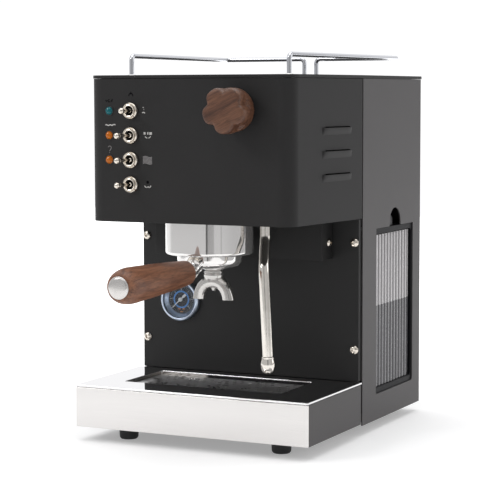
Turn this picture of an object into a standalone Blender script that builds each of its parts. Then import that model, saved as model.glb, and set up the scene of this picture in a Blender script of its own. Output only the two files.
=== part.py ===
"""A single-group espresso machine, built as the real one is: a folded steel case on a chassis with a
tapered head in front of it, a group with a locking portafilter, a steam valve with a swivelling wand,
four toggle switches, a pressure gauge, a drip-tray drawer and a water tank that pulls out sideways.

Frame: metres, +Z up, the front faces -Y. The origin is on the floor under the centre of the whole
machine's box, from the end of the portafilter's handle to the power inlet's flange.
"""

import math

import bmesh
import bpy
from mathutils import Matrix, Vector

MM = 0.001
SHEET = 1.2 * MM
GAP = 0.3 * MM

# Driving sizes of the casing. The panel closes the column's front, and the folded case starts behind it.
WIDTH = 243 * MM
COLUMN_FRONT = 40.7 * MM
CASE_FRONT = COLUMN_FRONT + 6.6 * MM
COLUMN_BACK = COLUMN_FRONT + 168.6 * MM
CASE_BOTTOM = 10.4 * MM
TOP = 354.5 * MM
LID_EDGE = 3 * MM
CASE_TOP = TOP - LID_EDGE - GAP

HEAD_FRONT = COLUMN_FRONT - 128.3 * MM
HEAD_FRONT_WIDTH = 211.9 * MM
HEAD_BOTTOM = 215.2 * MM
HEAD_CORNER = 16 * MM
HEAD_REAR = CASE_FRONT - 1.8 * MM

BASE_WIDTH = 247.8 * MM
BASE_FRONT = COLUMN_FRONT - 130 * MM
BASE_BOTTOM = 13.75 * MM
BASE_TOP = 55.1 * MM
BASE_LIP = 2 * MM
FRONT_SHEET = 1.8 * MM

# The group and everything on its axis.
GROUP_X = -5 * MM
GROUP_Y = COLUMN_FRONT - 74.5 * MM
GROUP_BOTTOM = 182.8 * MM
BELL_RADIUS = 42.5 * MM
BOWL_RADIUS = 31.5 * MM
SPOUT_SETBACK = 9 * MM
HANDLE_Z = 168.6 * MM
HANDLE_DROOP = 0.75
HANDLE_START = COLUMN_FRONT - 124.4 * MM
HANDLE_END = COLUMN_FRONT - 252 * MM

# The steam side.
KNOB_X = 53.5 * MM
KNOB_Z = 322 * MM
KNOB_RADIUS = 21.7 * MM
KNOB_BACK = HEAD_FRONT - 7.7 * MM
KNOB_LENGTH = 26.5 * MM
WAND_X = 54 * MM
WAND_Y = COLUMN_FRONT - 73.5 * MM
WAND_RADIUS = 5 * MM

# The controls on the head's front and the column's panel.
SWITCH_X = -60.3 * MM
SWITCH_Z = [(320.9 - 23.25 * row) * MM for row in range(4)]
LEVER_TILTS = [7, -7, -7, -7]
LAMP_X = -83.9 * MM
GAUGE = Vector((-76 * MM, COLUMN_FRONT, 127 * MM))
PANEL_HALF = 120 * MM
PANEL_THICK = 1.5 * MM
PANEL_SCREWS = [(side * 115.3 * MM, z * MM) for z in (191.8, 86.5) for side in (-1, 1)]

# The cup rails.
RAIL_Z = 373.6 * MM
RAIL_RADIUS = 2.4 * MM
RAIL_FRONT = (84.2 * MM, COLUMN_FRONT - 84.4 * MM)
RAIL_BACK = (100.2 * MM, COLUMN_FRONT + 153.5 * MM)
RAIL_MIDDLE_X = 6.9 * MM

# The drip tray's grille, the tank's window and the feet.
GRILLE = Vector((-5.5 * MM, COLUMN_FRONT - 55.5 * MM, 50 * MM))
GRILLE_HALF = (84.5 * MM, 37.5 * MM)
TANK_X = (-50 * MM, 119.1 * MM)
TANK_Y = (COLUMN_FRONT + 44.2 * MM, COLUMN_FRONT + 140.8 * MM)
TANK_Z = (42.8 * MM, 196.2 * MM)
WINDOW_Y = (COLUMN_FRONT + 41.9 * MM, COLUMN_FRONT + 144.2 * MM)
WINDOW_Z = (36.5 * MM, 202.8 * MM)
NOTCH_Y = COLUMN_FRONT + 93 * MM
FOOT_X = 82.5 * MM
FOOT_Y = (COLUMN_FRONT - 98.2 * MM, COLUMN_FRONT + 132 * MM)

PAINT = ("dark_grey_paint", (0.075, 0.072, 0.074), 0.55, 0.2)
PANEL_PAINT = ("black_paint", (0.02, 0.02, 0.021), 0.45, 0.1)
STEEL = ("polished_steel", (0.72, 0.71, 0.7), 0.18, 1.0)
CHROME = ("chrome", (0.8, 0.79, 0.78), 0.06, 1.0)
WALNUT = ("walnut", (0.16, 0.075, 0.045), 0.45, 0.0)
RUBBER = ("black_rubber", (0.015, 0.015, 0.016), 0.7, 0.0)
BLACK_PLASTIC = ("black_plastic", (0.02, 0.02, 0.022), 0.4, 0.0)
CLEAR_PLASTIC = ("clear_plastic", (0.75, 0.76, 0.78), 0.15, 0.0)
BRASS = ("brass", (0.7, 0.5, 0.22), 0.3, 1.0)
COPPER = ("copper", (0.75, 0.4, 0.26), 0.3, 1.0)
TEAL_LENS = ("teal_lens", (0.01, 0.22, 0.24), 0.15, 0.0)
AMBER_LENS = ("amber_lens", (0.8, 0.25, 0.02), 0.15, 0.0)
DIAL = ("gauge_dial", (0.03, 0.03, 0.032), 0.5, 0.0)
NEEDLE = ("gauge_needle", (0.85, 0.85, 0.83), 0.5, 0.0)
GLASS = ("gauge_glass", (0.9, 0.93, 0.95), 0.05, 0.0)

# Turns that carry a shape drawn in its own X and Y, or turned about its own Z, to the axis named.
TO_AXIS = {
    "Z": Matrix.Identity(3),
    "X": Matrix(((0, 0, 1), (1, 0, 0), (0, 1, 0))),
    "Y": Matrix(((1, 0, 0), (0, 0, -1), (0, 1, 0))),
}


# ---------------------------------------------------------------- scene and objects


def clear_scene():
    for obj in list(bpy.data.objects):
        bpy.data.objects.remove(obj)


def new_collection(name):
    collection = bpy.data.collections.new(name)
    bpy.context.scene.collection.children.link(collection)
    return collection


def material_of(finish):
    name, colour, roughness, metallic = finish
    found = bpy.data.materials.get(name)
    if found:
        return found
    material = bpy.data.materials.new(name)
    material.use_nodes = True
    shader = material.node_tree.nodes["Principled BSDF"]
    shader.inputs["Base Color"].default_value = (*colour, 1)
    shader.inputs["Roughness"].default_value = roughness
    shader.inputs["Metallic"].default_value = metallic
    return material


def place(obj, finish):
    """Puts a new object in the machine's collection with its material."""
    machine.objects.link(obj)
    obj.data.materials.append(material_of(finish))
    return obj


def as_mesh(obj, finish, smooth=True):
    """The object's evaluated shape as a closed mesh object of the same name and place."""
    bpy.context.view_layer.update()
    name, matrix = obj.name, obj.matrix_world.copy()
    graph = bpy.context.evaluated_depsgraph_get()
    mesh = bpy.data.meshes.new_from_object(obj.evaluated_get(graph))
    bpy.data.objects.remove(obj)
    bm = bmesh.new()
    bm.from_mesh(mesh)
    bmesh.ops.remove_doubles(bm, verts=bm.verts, dist=1e-6)
    bmesh.ops.recalc_face_normals(bm, faces=bm.faces)
    bm.to_mesh(mesh)
    bm.free()
    if smooth:
        mesh.shade_smooth()
        mesh.set_sharp_from_angle(angle=math.radians(35))
    mesh.materials.clear()
    made = bpy.data.objects.new(name, mesh)
    made.name = name
    made.matrix_world = matrix
    return place(made, finish)


def box(name, low, high, finish):
    """A box between two corners, with its origin at its centre."""
    low, high = Vector(low), Vector(high)
    bm = bmesh.new()
    bmesh.ops.create_cube(bm, size=1, matrix=Matrix.Diagonal((*(high - low), 1)))
    mesh = bpy.data.meshes.new(name)
    bm.to_mesh(mesh)
    bm.free()
    obj = bpy.data.objects.new(name, mesh)
    obj.location = (low + high) / 2
    return place(obj, finish)


def plate(name, outlines, low, high, finish, axis="Z"):
    """A sheet from low to high along axis: its rim, then its holes, in the plane square to that axis.
    The plane's two coordinates are X and Y for Z, X and Z for Y, and Y and Z for X."""
    curve = bpy.data.curves.new(name, "CURVE")
    curve.dimensions = "2D"
    curve.fill_mode = "BOTH"
    curve.extrude = (high - low) / 2
    for outline in outlines:
        spline = curve.splines.new("POLY")
        spline.points.add(len(outline) - 1)
        for point, (u, v) in zip(spline.points, outline):
            point.co = (u, v, 0, 1)
        spline.use_cyclic_u = True
    obj = bpy.data.objects.new(name, curve)
    bpy.context.scene.collection.objects.link(obj)
    turn = TO_AXIS[axis].to_4x4()
    middle = (low + high) / 2
    offset = {"X": (middle, 0, 0), "Y": (0, middle, 0), "Z": (0, 0, middle)}[axis]
    obj.matrix_world = Matrix.Translation(offset) @ turn
    return as_mesh(obj, finish)


def turned(name, profile, origin, finish, axis="Z", steps=32):
    """A solid of revolution about axis through origin. The profile is (radius, height) points: an open
    line that starts and ends on the axis, or a closed loop clear of it. Heights on Y go to the front."""
    mesh = bpy.data.meshes.new(name)
    closed = profile[0][0] > 0
    edges = [(i, i + 1) for i in range(len(profile) - 1)]
    if closed:
        edges.append((len(profile) - 1, 0))
    mesh.from_pydata([(r, 0, h) for r, h in profile], edges, [])
    obj = bpy.data.objects.new(name, mesh)
    bpy.context.scene.collection.objects.link(obj)
    screw = obj.modifiers.new("Turn", "SCREW")
    screw.steps = screw.render_steps = steps
    screw.use_merge_vertices = True
    screw.merge_threshold = 1e-6
    obj.matrix_world = Matrix.Translation(origin) @ TO_AXIS[axis].to_4x4()
    return as_mesh(obj, finish)


def tube(name, path, radius, finish, resolution=3, radii=None):
    """A round rod along a line of points. radii scales the radius at each point."""
    curve = bpy.data.curves.new(name, "CURVE")
    curve.dimensions = "3D"
    curve.bevel_depth = radius
    curve.bevel_resolution = resolution
    curve.use_fill_caps = True
    spline = curve.splines.new("POLY")
    spline.points.add(len(path) - 1)
    for number, (point, place_at) in enumerate(zip(spline.points, path)):
        point.co = (*place_at, 1)
        point.radius = radii[number] if radii else 1
    obj = bpy.data.objects.new(name, curve)
    bpy.context.scene.collection.objects.link(obj)
    return as_mesh(obj, finish)


def boolean(obj, other, operation):
    """Cuts or joins another object, which then stays as a hidden helper."""
    for collection in list(other.users_collection):
        collection.objects.unlink(other)
    cutters.objects.link(other)
    other.name = f"{obj.name}_{operation.lower()}_{len(obj.modifiers)}"
    other.hide_render = True
    other.display_type = "WIRE"
    modifier = obj.modifiers.new(other.name, "BOOLEAN")
    modifier.operation = operation
    modifier.object = other
    return obj


def cut(obj, *others):
    for other in others:
        boolean(obj, other, "DIFFERENCE")
    return obj


def join(obj, *others):
    for other in others:
        boolean(obj, other, "UNION")


def pivot(name, location):
    """An empty on a joint's axis, which the pieces that move with it are parented to."""
    empty = bpy.data.objects.new(name, None)
    empty.empty_display_size = 10 * MM
    empty.location = location
    machine.objects.link(empty)
    return empty


def hang(empty, *pieces):
    bpy.context.view_layer.update()
    for piece in pieces:
        piece.parent = empty
        piece.matrix_parent_inverse = empty.matrix_world.inverted()


# ---------------------------------------------------------------- outlines and paths


def circle(u, v, radius, steps=24, start=0.0):
    angles = [start + 2 * math.pi * step / steps for step in range(steps)]
    return [(u + radius * math.cos(a), v + radius * math.sin(a)) for a in angles]


def rectangle(u, v, half_u, half_v):
    return [
        (u - half_u, v - half_v),
        (u + half_u, v - half_v),
        (u + half_u, v + half_v),
        (u - half_u, v + half_v),
    ]


def fillet(before, corner, after, radius, steps):
    """The points of an arc of this radius that rounds a corner, in two or three dimensions."""
    before, corner, after = Vector(before), Vector(corner), Vector(after)
    inward, outward = (before - corner).normalized(), (after - corner).normalized()
    half = inward.angle(outward) / 2
    reach = radius / math.tan(half)
    middle = corner + (inward + outward).normalized() * radius / math.sin(half)
    first = corner + inward * reach - middle
    last = corner + outward * reach - middle
    sweep = first.angle(last)
    arc = []
    for step in range(steps + 1):
        share = step / steps
        weight_first = math.sin((1 - share) * sweep) / math.sin(sweep)
        weight_last = math.sin(share * sweep) / math.sin(sweep)
        arc.append(tuple(middle + first * weight_first + last * weight_last))
    return arc


def rounded(corners, radii, steps=4):
    """A closed outline with its corners rounded, by one radius or one for each corner."""
    if not isinstance(radii, (list, tuple)):
        radii = [radii] * len(corners)
    points = []
    for index, (corner, radius) in enumerate(zip(corners, radii)):
        if radius <= 0:
            points.append(corner)
            continue
        after = corners[(index + 1) % len(corners)]
        points += fillet(corners[index - 1], corner, after, radius, steps)
    return points


def bent(points, radius, steps=4):
    """An open path with its inner corners rounded."""
    path = [tuple(points[0])]
    for before, corner, after in zip(points, points[1:], points[2:]):
        path += fillet(before, corner, after, radius, steps)
    path.append(tuple(points[-1]))
    return path


def head_side_x(y, inset=0.0):
    """How far the head's tapered side is from the middle, at depth y."""
    taper = (WIDTH - HEAD_FRONT_WIDTH) / 2 / (CASE_FRONT - HEAD_FRONT)
    return HEAD_FRONT_WIDTH / 2 + (y - HEAD_FRONT) * taper - inset * math.hypot(1, taper)


def head_line(inset, rear, corner=HEAD_CORNER):
    """The head's wall in plan, from the left rear round the front to the right rear."""
    front = HEAD_FRONT + inset
    right = [(head_side_x(front, inset), front), (head_side_x(rear, inset), rear)]
    left = [(-x, y) for x, y in reversed(right)]
    return bent([*left, *right], corner - inset, steps=6)


# ---------------------------------------------------------------- casing


def make_case():
    """The column's left side, back and right side, folded from one sheet."""
    half, fold = WIDTH / 2, 4 * MM
    inner, back = half - SHEET, COLUMN_BACK - SHEET
    outside = [(-half, CASE_FRONT), (-half, COLUMN_BACK), (half, COLUMN_BACK), (half, CASE_FRONT)]
    inside = [(inner, CASE_FRONT), (inner, back), (-inner, back), (-inner, CASE_FRONT)]
    outline = bent(outside, fold) + bent(inside, fold - SHEET)
    case = plate("outer_case", [outline], CASE_BOTTOM, CASE_TOP, PAINT)
    return cut(case, window_cutter(), inlet_cutter(), vent_cutter())


def window_cutter():
    """The tank's window with the arched finger notch over it."""
    radius, straight, corner = 15.4 * MM, 3.2 * MM, 3 * MM
    (near, far), (low, high) = WINDOW_Y, WINDOW_Z
    crown = []
    for step in range(11):
        angle = math.pi * step / 10
        crown.append((NOTCH_Y + radius * math.cos(angle), high + straight + radius * math.sin(angle)))
    outline = [
        *fillet((near, high), (near, low), (far, low), corner, 3),
        *fillet((near, low), (far, low), (far, high), corner, 3),
        (far, high),
        (NOTCH_Y + radius, high),
        *crown,
        (NOTCH_Y - radius, high),
        (near, high),
    ]
    return plate("window", [outline], WIDTH / 2 - 6 * MM, WIDTH / 2 + 4 * MM, PAINT, axis="X")


INLET_X, INLET_Z = -75 * MM, 64 * MM


def inlet_cutter():
    outline = rectangle(INLET_X, INLET_Z, 15 * MM, 12 * MM)
    return plate("inlet_hole", [outline], COLUMN_BACK - 8 * MM, COLUMN_BACK + 4 * MM, PAINT, axis="Y")


def vent_cutter():
    """Two columns of long slots high on the back."""
    slots = [
        rounded(rectangle(side * 48 * MM, (252 + 13 * row) * MM, 34 * MM, 2.2 * MM), 2.1 * MM, 2)
        for side in (-1, 1)
        for row in range(6)
    ]
    return plate("vents", slots, COLUMN_BACK - 8 * MM, COLUMN_BACK + 4 * MM, PAINT, axis="Y")


def make_panel():
    """The black panel that closes the column's front. Its sides fold back under the head, and it has
    the gauge's hole and a port behind the head."""
    low, high = BASE_TOP + 0.4 * MM, CASE_TOP - GAP
    step_z = HEAD_BOTTOM - 0.6 * MM
    upper = PANEL_HALF - 1.6 * MM
    back = COLUMN_FRONT + PANEL_THICK
    corners = [(PANEL_HALF, low), (PANEL_HALF, step_z), (upper, step_z), (upper, high)]
    rim = corners + [(-x, z) for x, z in reversed(corners)]
    holes = [circle(x, z, 2.2 * MM, 10, start=0.2) for x, z in PANEL_SCREWS]
    holes.append(circle(GAUGE.x, GAUGE.z, 20.3 * MM, 32))
    holes.append(rounded(rectangle(0, 282 * MM, 85 * MM, 48 * MM), 6 * MM))
    panel = plate("back_panel", [rim, *holes], COLUMN_FRONT, back, PANEL_PAINT, axis="Y")
    for side in (-1, 1):
        ends = sorted((side * (PANEL_HALF - 0.05 * MM), side * (PANEL_HALF - SHEET)))
        near, far = back - 0.5 * MM, CASE_FRONT - 0.4 * MM
        fold = box("fold", (ends[0], near, low + 0.1 * MM), (ends[1], far, step_z - 0.1 * MM), PANEL_PAINT)
        join(panel, fold)


def screw_profile(head, height, shank, length):
    """A button head with a socket, height toward the head's crown."""
    socket = head * 0.36
    return [
        (0, height * 0.35),
        (socket, height * 0.35),
        (socket, height),
        (head * 0.62, height * 0.93),
        (head * 0.9, height * 0.6),
        (head, height * 0.15),
        (head, 0),
        (shank, 0),
        (shank, -length),
        (0, -length),
    ]


def make_panel_screws():
    profile = screw_profile(4.6 * MM, 2.8 * MM, 1.9 * MM, 6 * MM)
    names = ("upper_left", "upper_right", "lower_left", "lower_right")
    for name, (x, z) in zip(names, PANEL_SCREWS):
        turned(f"panel_screw_{name}", profile, (x, COLUMN_FRONT - GAP, z), CHROME, axis="Y", steps=12)


def cylinder(radius, low, high):
    """The profile of a plain solid cylinder."""
    return [(0, low), (radius, low), (radius, high), (0, high)]


def make_boiler_cover():
    """The shallow box under the head, behind the group, open at its top and back."""
    half, depth = 92 * MM, 25 * MM
    rear = COLUMN_FRONT - GAP
    front = rear - depth
    low, high = 175.5 * MM, HEAD_BOTTOM - 0.4 * MM
    cover = box("boiler_cover", (-half, front, low), (half, rear, high), PANEL_PAINT)
    past = 5 * MM
    hollow_low = (-half + SHEET, front + SHEET, low + SHEET)
    hollow = box("hollow", hollow_low, (half - SHEET, rear + past, high + past), PANEL_PAINT)
    screw_y, screw_z = COLUMN_FRONT - 9 * MM, 192 * MM
    bore = cylinder(2.2 * MM, -3 * MM, 3 * MM)
    hole = turned("hole", bore, (half, screw_y, screw_z), PANEL_PAINT, axis="X", steps=10)
    cut(cover, hollow, hole)
    profile = screw_profile(4.2 * MM, 2.6 * MM, 1.9 * MM, 4 * MM)
    turned("cover_screw", profile, (half + GAP, screw_y, screw_z), CHROME, axis="X", steps=14)


LOUVRE_Y = COLUMN_FRONT - 42.5 * MM
LOUVRE_HALF = 23 * MM
LOUVRE_Z = [(303.9 - 22.1 * row) * MM for row in range(3)]


def make_head():
    """The head's front and tapered sides in one folded sheet, with its holes and louvre slots."""
    outer = head_line(0, HEAD_REAR)
    inner = head_line(SHEET, HEAD_REAR)
    shell = plate("head_shell", [outer + inner[::-1]], HEAD_BOTTOM, CASE_TOP, PAINT)
    reach = head_side_x(HEAD_REAR)
    for side in (-1, 1):
        ends = sorted((side * (reach - 1 * MM), side * (reach - 0.05 * MM)))
        tab_low = (ends[0], HEAD_REAR - 1 * MM, CASE_TOP - 8 * MM)
        tab_high = (ends[1], CASE_FRONT - GAP, CASE_TOP - 0.05 * MM)
        join(shell, box("tab", tab_low, tab_high, PAINT))
    holes = [circle(SWITCH_X, z, 6.3 * MM, 20) for z in SWITCH_Z]
    holes += [circle(LAMP_X, z, 3.3 * MM, 16) for z in SWITCH_Z[:3]]
    holes.append(circle(KNOB_X, KNOB_Z, 7.6 * MM, 20))
    past = 4 * MM
    cut(shell, plate("front_holes", holes, HEAD_FRONT - past, HEAD_FRONT + past, PAINT, axis="Y"))
    slots = [rounded(rectangle(LOUVRE_Y, z, LOUVRE_HALF, 1.1 * MM), 1 * MM, 2) for z in LOUVRE_Z]
    middle, past = head_side_x(LOUVRE_Y), 12 * MM
    for name, x in (("slots_right", middle), ("slots_left", -middle)):
        cut(shell, plate(name, slots, x - past, x + past, PAINT, axis="X"))
    floor = head_line(SHEET + 0.4 * MM, COLUMN_FRONT - 2.8 * MM)
    bell_hole = circle(GROUP_X, GROUP_Y, BELL_RADIUS + 0.7 * MM, 40)
    openings = [bell_hole, circle(WAND_X, WAND_Y, 9.4 * MM, 20)]
    low, high = HEAD_BOTTOM + 0.8 * MM, HEAD_BOTTOM + 2 * MM
    plate("head_floor", [floor, *openings], low, high, PANEL_PAINT)


def lid_outline(inset, front_corner):
    half, front = WIDTH / 2 - inset, HEAD_FRONT + inset
    right = [(head_side_x(front, inset), front), (half, CASE_FRONT), (half, COLUMN_BACK - inset)]
    corners = right + [(-x, y) for x, y in reversed(right)]
    back_corner = 4 * MM - inset
    return rounded(corners, [front_corner, 0, back_corner, back_corner, 0, front_corner])


def make_lid():
    """The cup-warming lid: a sheet with slots and the rails' holes, and a rim under its edge."""
    slots = [
        rounded(rectangle(x * MM, y * MM, 3 * MM, 24 * MM), 2.9 * MM, 2)
        for y in (70, 140)
        for x in range(-64, 65, 32)
    ]
    posts = [(side * RAIL_FRONT[0], RAIL_FRONT[1]) for side in (-1, 1)]
    posts += [(side * RAIL_MIDDLE_X, RAIL_BACK[1]) for side in (-1, 1)]
    holes = [circle(x, y, RAIL_RADIUS + GAP, 14) for x, y in posts]
    lid = plate("cup_lid", [lid_outline(0, 9 * MM), *holes], TOP - 1.5 * MM, TOP, PAINT)
    cut(lid, plate("slots", slots, TOP - 5 * MM, TOP + 5 * MM, PAINT))
    edges = [lid_outline(0.05 * MM, 9 * MM), lid_outline(1.5 * MM, 7.5 * MM)]
    join(lid, plate("rim", edges, TOP - LID_EDGE, TOP - 1.2 * MM, PAINT))


def make_rails():
    """Two bent rods, each along one side and half of the back, with a post at both ends."""
    foot = TOP - 6 * MM
    for name, side in (("left", -1), ("right", 1)):
        corners = [
            (side * RAIL_FRONT[0], RAIL_FRONT[1], foot),
            (side * RAIL_FRONT[0], RAIL_FRONT[1], RAIL_Z),
            (side * RAIL_BACK[0], RAIL_BACK[1], RAIL_Z),
            (side * RAIL_MIDDLE_X, RAIL_BACK[1], RAIL_Z),
            (side * RAIL_MIDDLE_X, RAIL_BACK[1], foot),
        ]
        tube(f"cup_rail_{name}", bent(corners, 5.2 * MM, steps=4), RAIL_RADIUS, CHROME, resolution=3)


# ---------------------------------------------------------------- base and drawer


def make_chassis():
    """The bottom sheet, the base's two painted cheeks, the bulkhead behind the drawer and the two
    uprights that the panel is screwed to."""
    half = BASE_WIDTH / 2
    front = BASE_FRONT + FRONT_SHEET + GAP
    rear = COLUMN_FRONT - 2.7 * MM
    side_top = BASE_TOP - BASE_LIP - 0.4 * MM
    floor_top = BASE_BOTTOM + 1.5 * MM
    channel = [(half, BASE_BOTTOM), (half, side_top), (half - SHEET, side_top), (half - SHEET, floor_top)]
    channel += [(-x, z) for x, z in reversed(channel)]
    chassis = plate("chassis", [channel], front, rear, PAINT, axis="Y")
    inset, overlap = 0.4 * MM, 0.1 * MM
    inner = WIDTH / 2 - SHEET - inset
    floor_low = (-inner, rear - MM, BASE_BOTTOM + overlap)
    floor_high = (inner, COLUMN_BACK - SHEET - 1.4 * MM, floor_top - overlap)
    wall_low = (-half + inset, rear - SHEET, floor_top - inset)
    wall_high = (half - inset, rear - overlap, side_top - overlap)
    join(chassis, box("floor", floor_low, floor_high, PAINT), box("bulkhead", wall_low, wall_high, PAINT))
    near = COLUMN_FRONT + PANEL_THICK + 0.4 * MM
    for side in (-1, 1):
        ends = sorted((side * 109 * MM, side * (PANEL_HALF - 1.8 * MM)))
        post = box("post", (ends[0], near, floor_top - inset), (ends[1], near + SHEET, 300 * MM), PAINT)
        join(chassis, post)
    holes = [circle(x, z, 2.3 * MM, 10) for x, z in PANEL_SCREWS]
    cut(chassis, plate("screw_holes", holes, near - MM, near + SHEET + MM, PAINT, axis="Y"))


def grille_frame(grow):
    return rectangle(GRILLE.x, GRILLE.y, GRILLE_HALF[0] + grow, GRILLE_HALF[1] + grow)


def make_base_top():
    """The polished top of the base, with a sunk frame that the grille sits in."""
    half = BASE_WIDTH / 2
    rear = COLUMN_FRONT - 0.8 * MM
    corners = [(-half, BASE_FRONT), (half, BASE_FRONT), (half, rear), (-half, rear)]
    rim = rounded(corners, [1 * MM, 1 * MM, 0, 0], 2)
    bottom = BASE_TOP - 6.7 * MM
    top = plate("base_top", [rim, grille_frame(0)], BASE_TOP - BASE_LIP, BASE_TOP, STEEL)
    wall = plate("wall", [grille_frame(SHEET), grille_frame(0)], bottom, BASE_TOP - 1 * MM, STEEL)
    ledge = plate("ledge", [grille_frame(0.6 * MM), grille_frame(-4 * MM)], bottom, bottom + SHEET, STEEL)
    join(top, wall, ledge)


def make_grille():
    """The lift-out grille: ten motifs, each a square of diamond holes."""
    holes = []
    pitch, diamond = 7 * MM, 2.9 * MM
    for column in range(-2, 3):
        for row in (-0.5, 0.5):
            centre_x = GRILLE.x + column * 33.5 * MM
            centre_y = GRILLE.y + row * 35 * MM
            for u in range(-1, 2):
                for v in range(-1, 2):
                    radius = diamond * (0.62 if u == v == 0 else 1)
                    holes.append(circle(centre_x + u * pitch, centre_y + v * pitch, radius, 4))
    rim = rounded(grille_frame(-0.6 * MM), 2 * MM, 2)
    grille = plate("drip_grille", [rim, *holes], GRILLE.z, GRILLE.z + 1.4 * MM, STEEL)
    hang(pivot("grille_lift", GRILLE), grille)


def make_drawer():
    """The steel front and the black drip tray behind it, which slide out together."""
    half = BASE_WIDTH / 2
    top = BASE_TOP - BASE_LIP - GAP
    back = BASE_FRONT + FRONT_SHEET
    front = box("drawer_front", (-half, BASE_FRONT, BASE_BOTTOM), (half, back, top), STEEL)
    bevel = front.modifiers.new("Edges", "BEVEL")
    bevel.width = 0.6 * MM
    bevel.segments = 2
    low, high = 16.2 * MM, 45.5 * MM
    side, wall = 110 * MM, 2 * MM
    near, far = back + GAP, COLUMN_FRONT - 8 * MM
    middle, reach = (near + far) / 2, (far - near) / 2
    outline = rounded(rectangle(0, middle, side, reach), 6 * MM, 3)
    tray = plate("drip_tray", [outline], low, high, BLACK_PLASTIC)
    hollow = rounded(rectangle(0, middle, side - wall, reach - wall), 4 * MM, 3)
    cut(tray, plate("hollow", [hollow], low + wall, high + 5 * MM, BLACK_PLASTIC))
    hang(pivot("drawer_slide", (0, BASE_FRONT, (low + high) / 2)), front, tray)


def make_feet():
    height = BASE_BOTTOM - GAP
    profile = [(0, 0), (8.1 * MM, 0), (9.2 * MM, 1.5 * MM), (9.7 * MM, height), (0, height)]
    for depth, y in zip(("front", "rear"), FOOT_Y):
        for side, x in (("left", -FOOT_X), ("right", FOOT_X)):
            turned(f"foot_{depth}_{side}", profile, (x, y, 0), RUBBER, steps=24)


# ---------------------------------------------------------------- group and portafilter

# Heights over the group's lower edge: the ring's top, its lips, and the portafilter's rim.
RING_TOP = 28.9 * MM
LIP_TOP = 6.6 * MM
RIM_TOP = 12 * MM


def make_group():
    """The chrome bell, and the brass ring inside it with its lips, gasket and shower screen."""
    origin = (GROUP_X, GROUP_Y, GROUP_BOTTOM)
    wall, edge, top = 1.5 * MM, 3 * MM, 52.6 * MM
    centre = BELL_RADIUS - edge
    turn = [math.pi / 2 * step / 3 for step in range(4)]
    outside = [(centre + edge * math.cos(a), edge - edge * math.sin(a)) for a in turn]
    thin = edge - wall
    inside = [(centre + thin * math.cos(a), edge - thin * math.sin(a)) for a in reversed(turn)]
    mouth = [(37 * MM, 0), (37 * MM, wall)]
    bell = [(BELL_RADIUS, top), *outside, *mouth, *inside, (BELL_RADIUS - wall, top)]
    turned("group_bell", bell, origin, CHROME, steps=40)

    bore, groove, rim = 32.3 * MM, 36.8 * MM, 40.4 * MM
    groove_top, seat = 13.2 * MM, 21 * MM
    ring = [
        (0, RING_TOP),
        (rim, RING_TOP),
        (rim, wall + 2 * MM),
        (rim - 2 * MM, wall + GAP),
        (bore, wall + GAP),
        (bore, LIP_TOP),
        (groove, LIP_TOP),
        (groove, groove_top),
        (bore, groove_top),
        (bore, seat),
        (0, seat),
    ]
    group = turned("group_ring", ring, origin, BRASS, steps=32)
    entry = box("entry", (-40 * MM, -8 * MM, -3.5 * MM), (40 * MM, 8 * MM, 3.5 * MM), BRASS)
    entry.location = (GROUP_X, GROUP_Y, GROUP_BOTTOM + LIP_TOP - 3.4 * MM)
    entry.rotation_euler.z = math.radians(-52)
    cut(group, entry)

    inner, outer = 28.2 * MM, 31.9 * MM
    low, high = groove_top + GAP, seat - GAP
    gasket = [(inner, low), (outer, low), (outer, high), (inner, high)]
    turned("group_gasket", gasket, origin, RUBBER, steps=28)
    screen_rim, core = 27.2 * MM, 25 * MM
    bottom = 8.6 * MM
    screen = [(0, bottom), (screen_rim, bottom), (screen_rim, bottom + 2 * MM), (core, bottom + 2.6 * MM)]
    turned("shower_screen", screen + [(core, high), (0, high)], origin, STEEL, steps=28)


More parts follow.
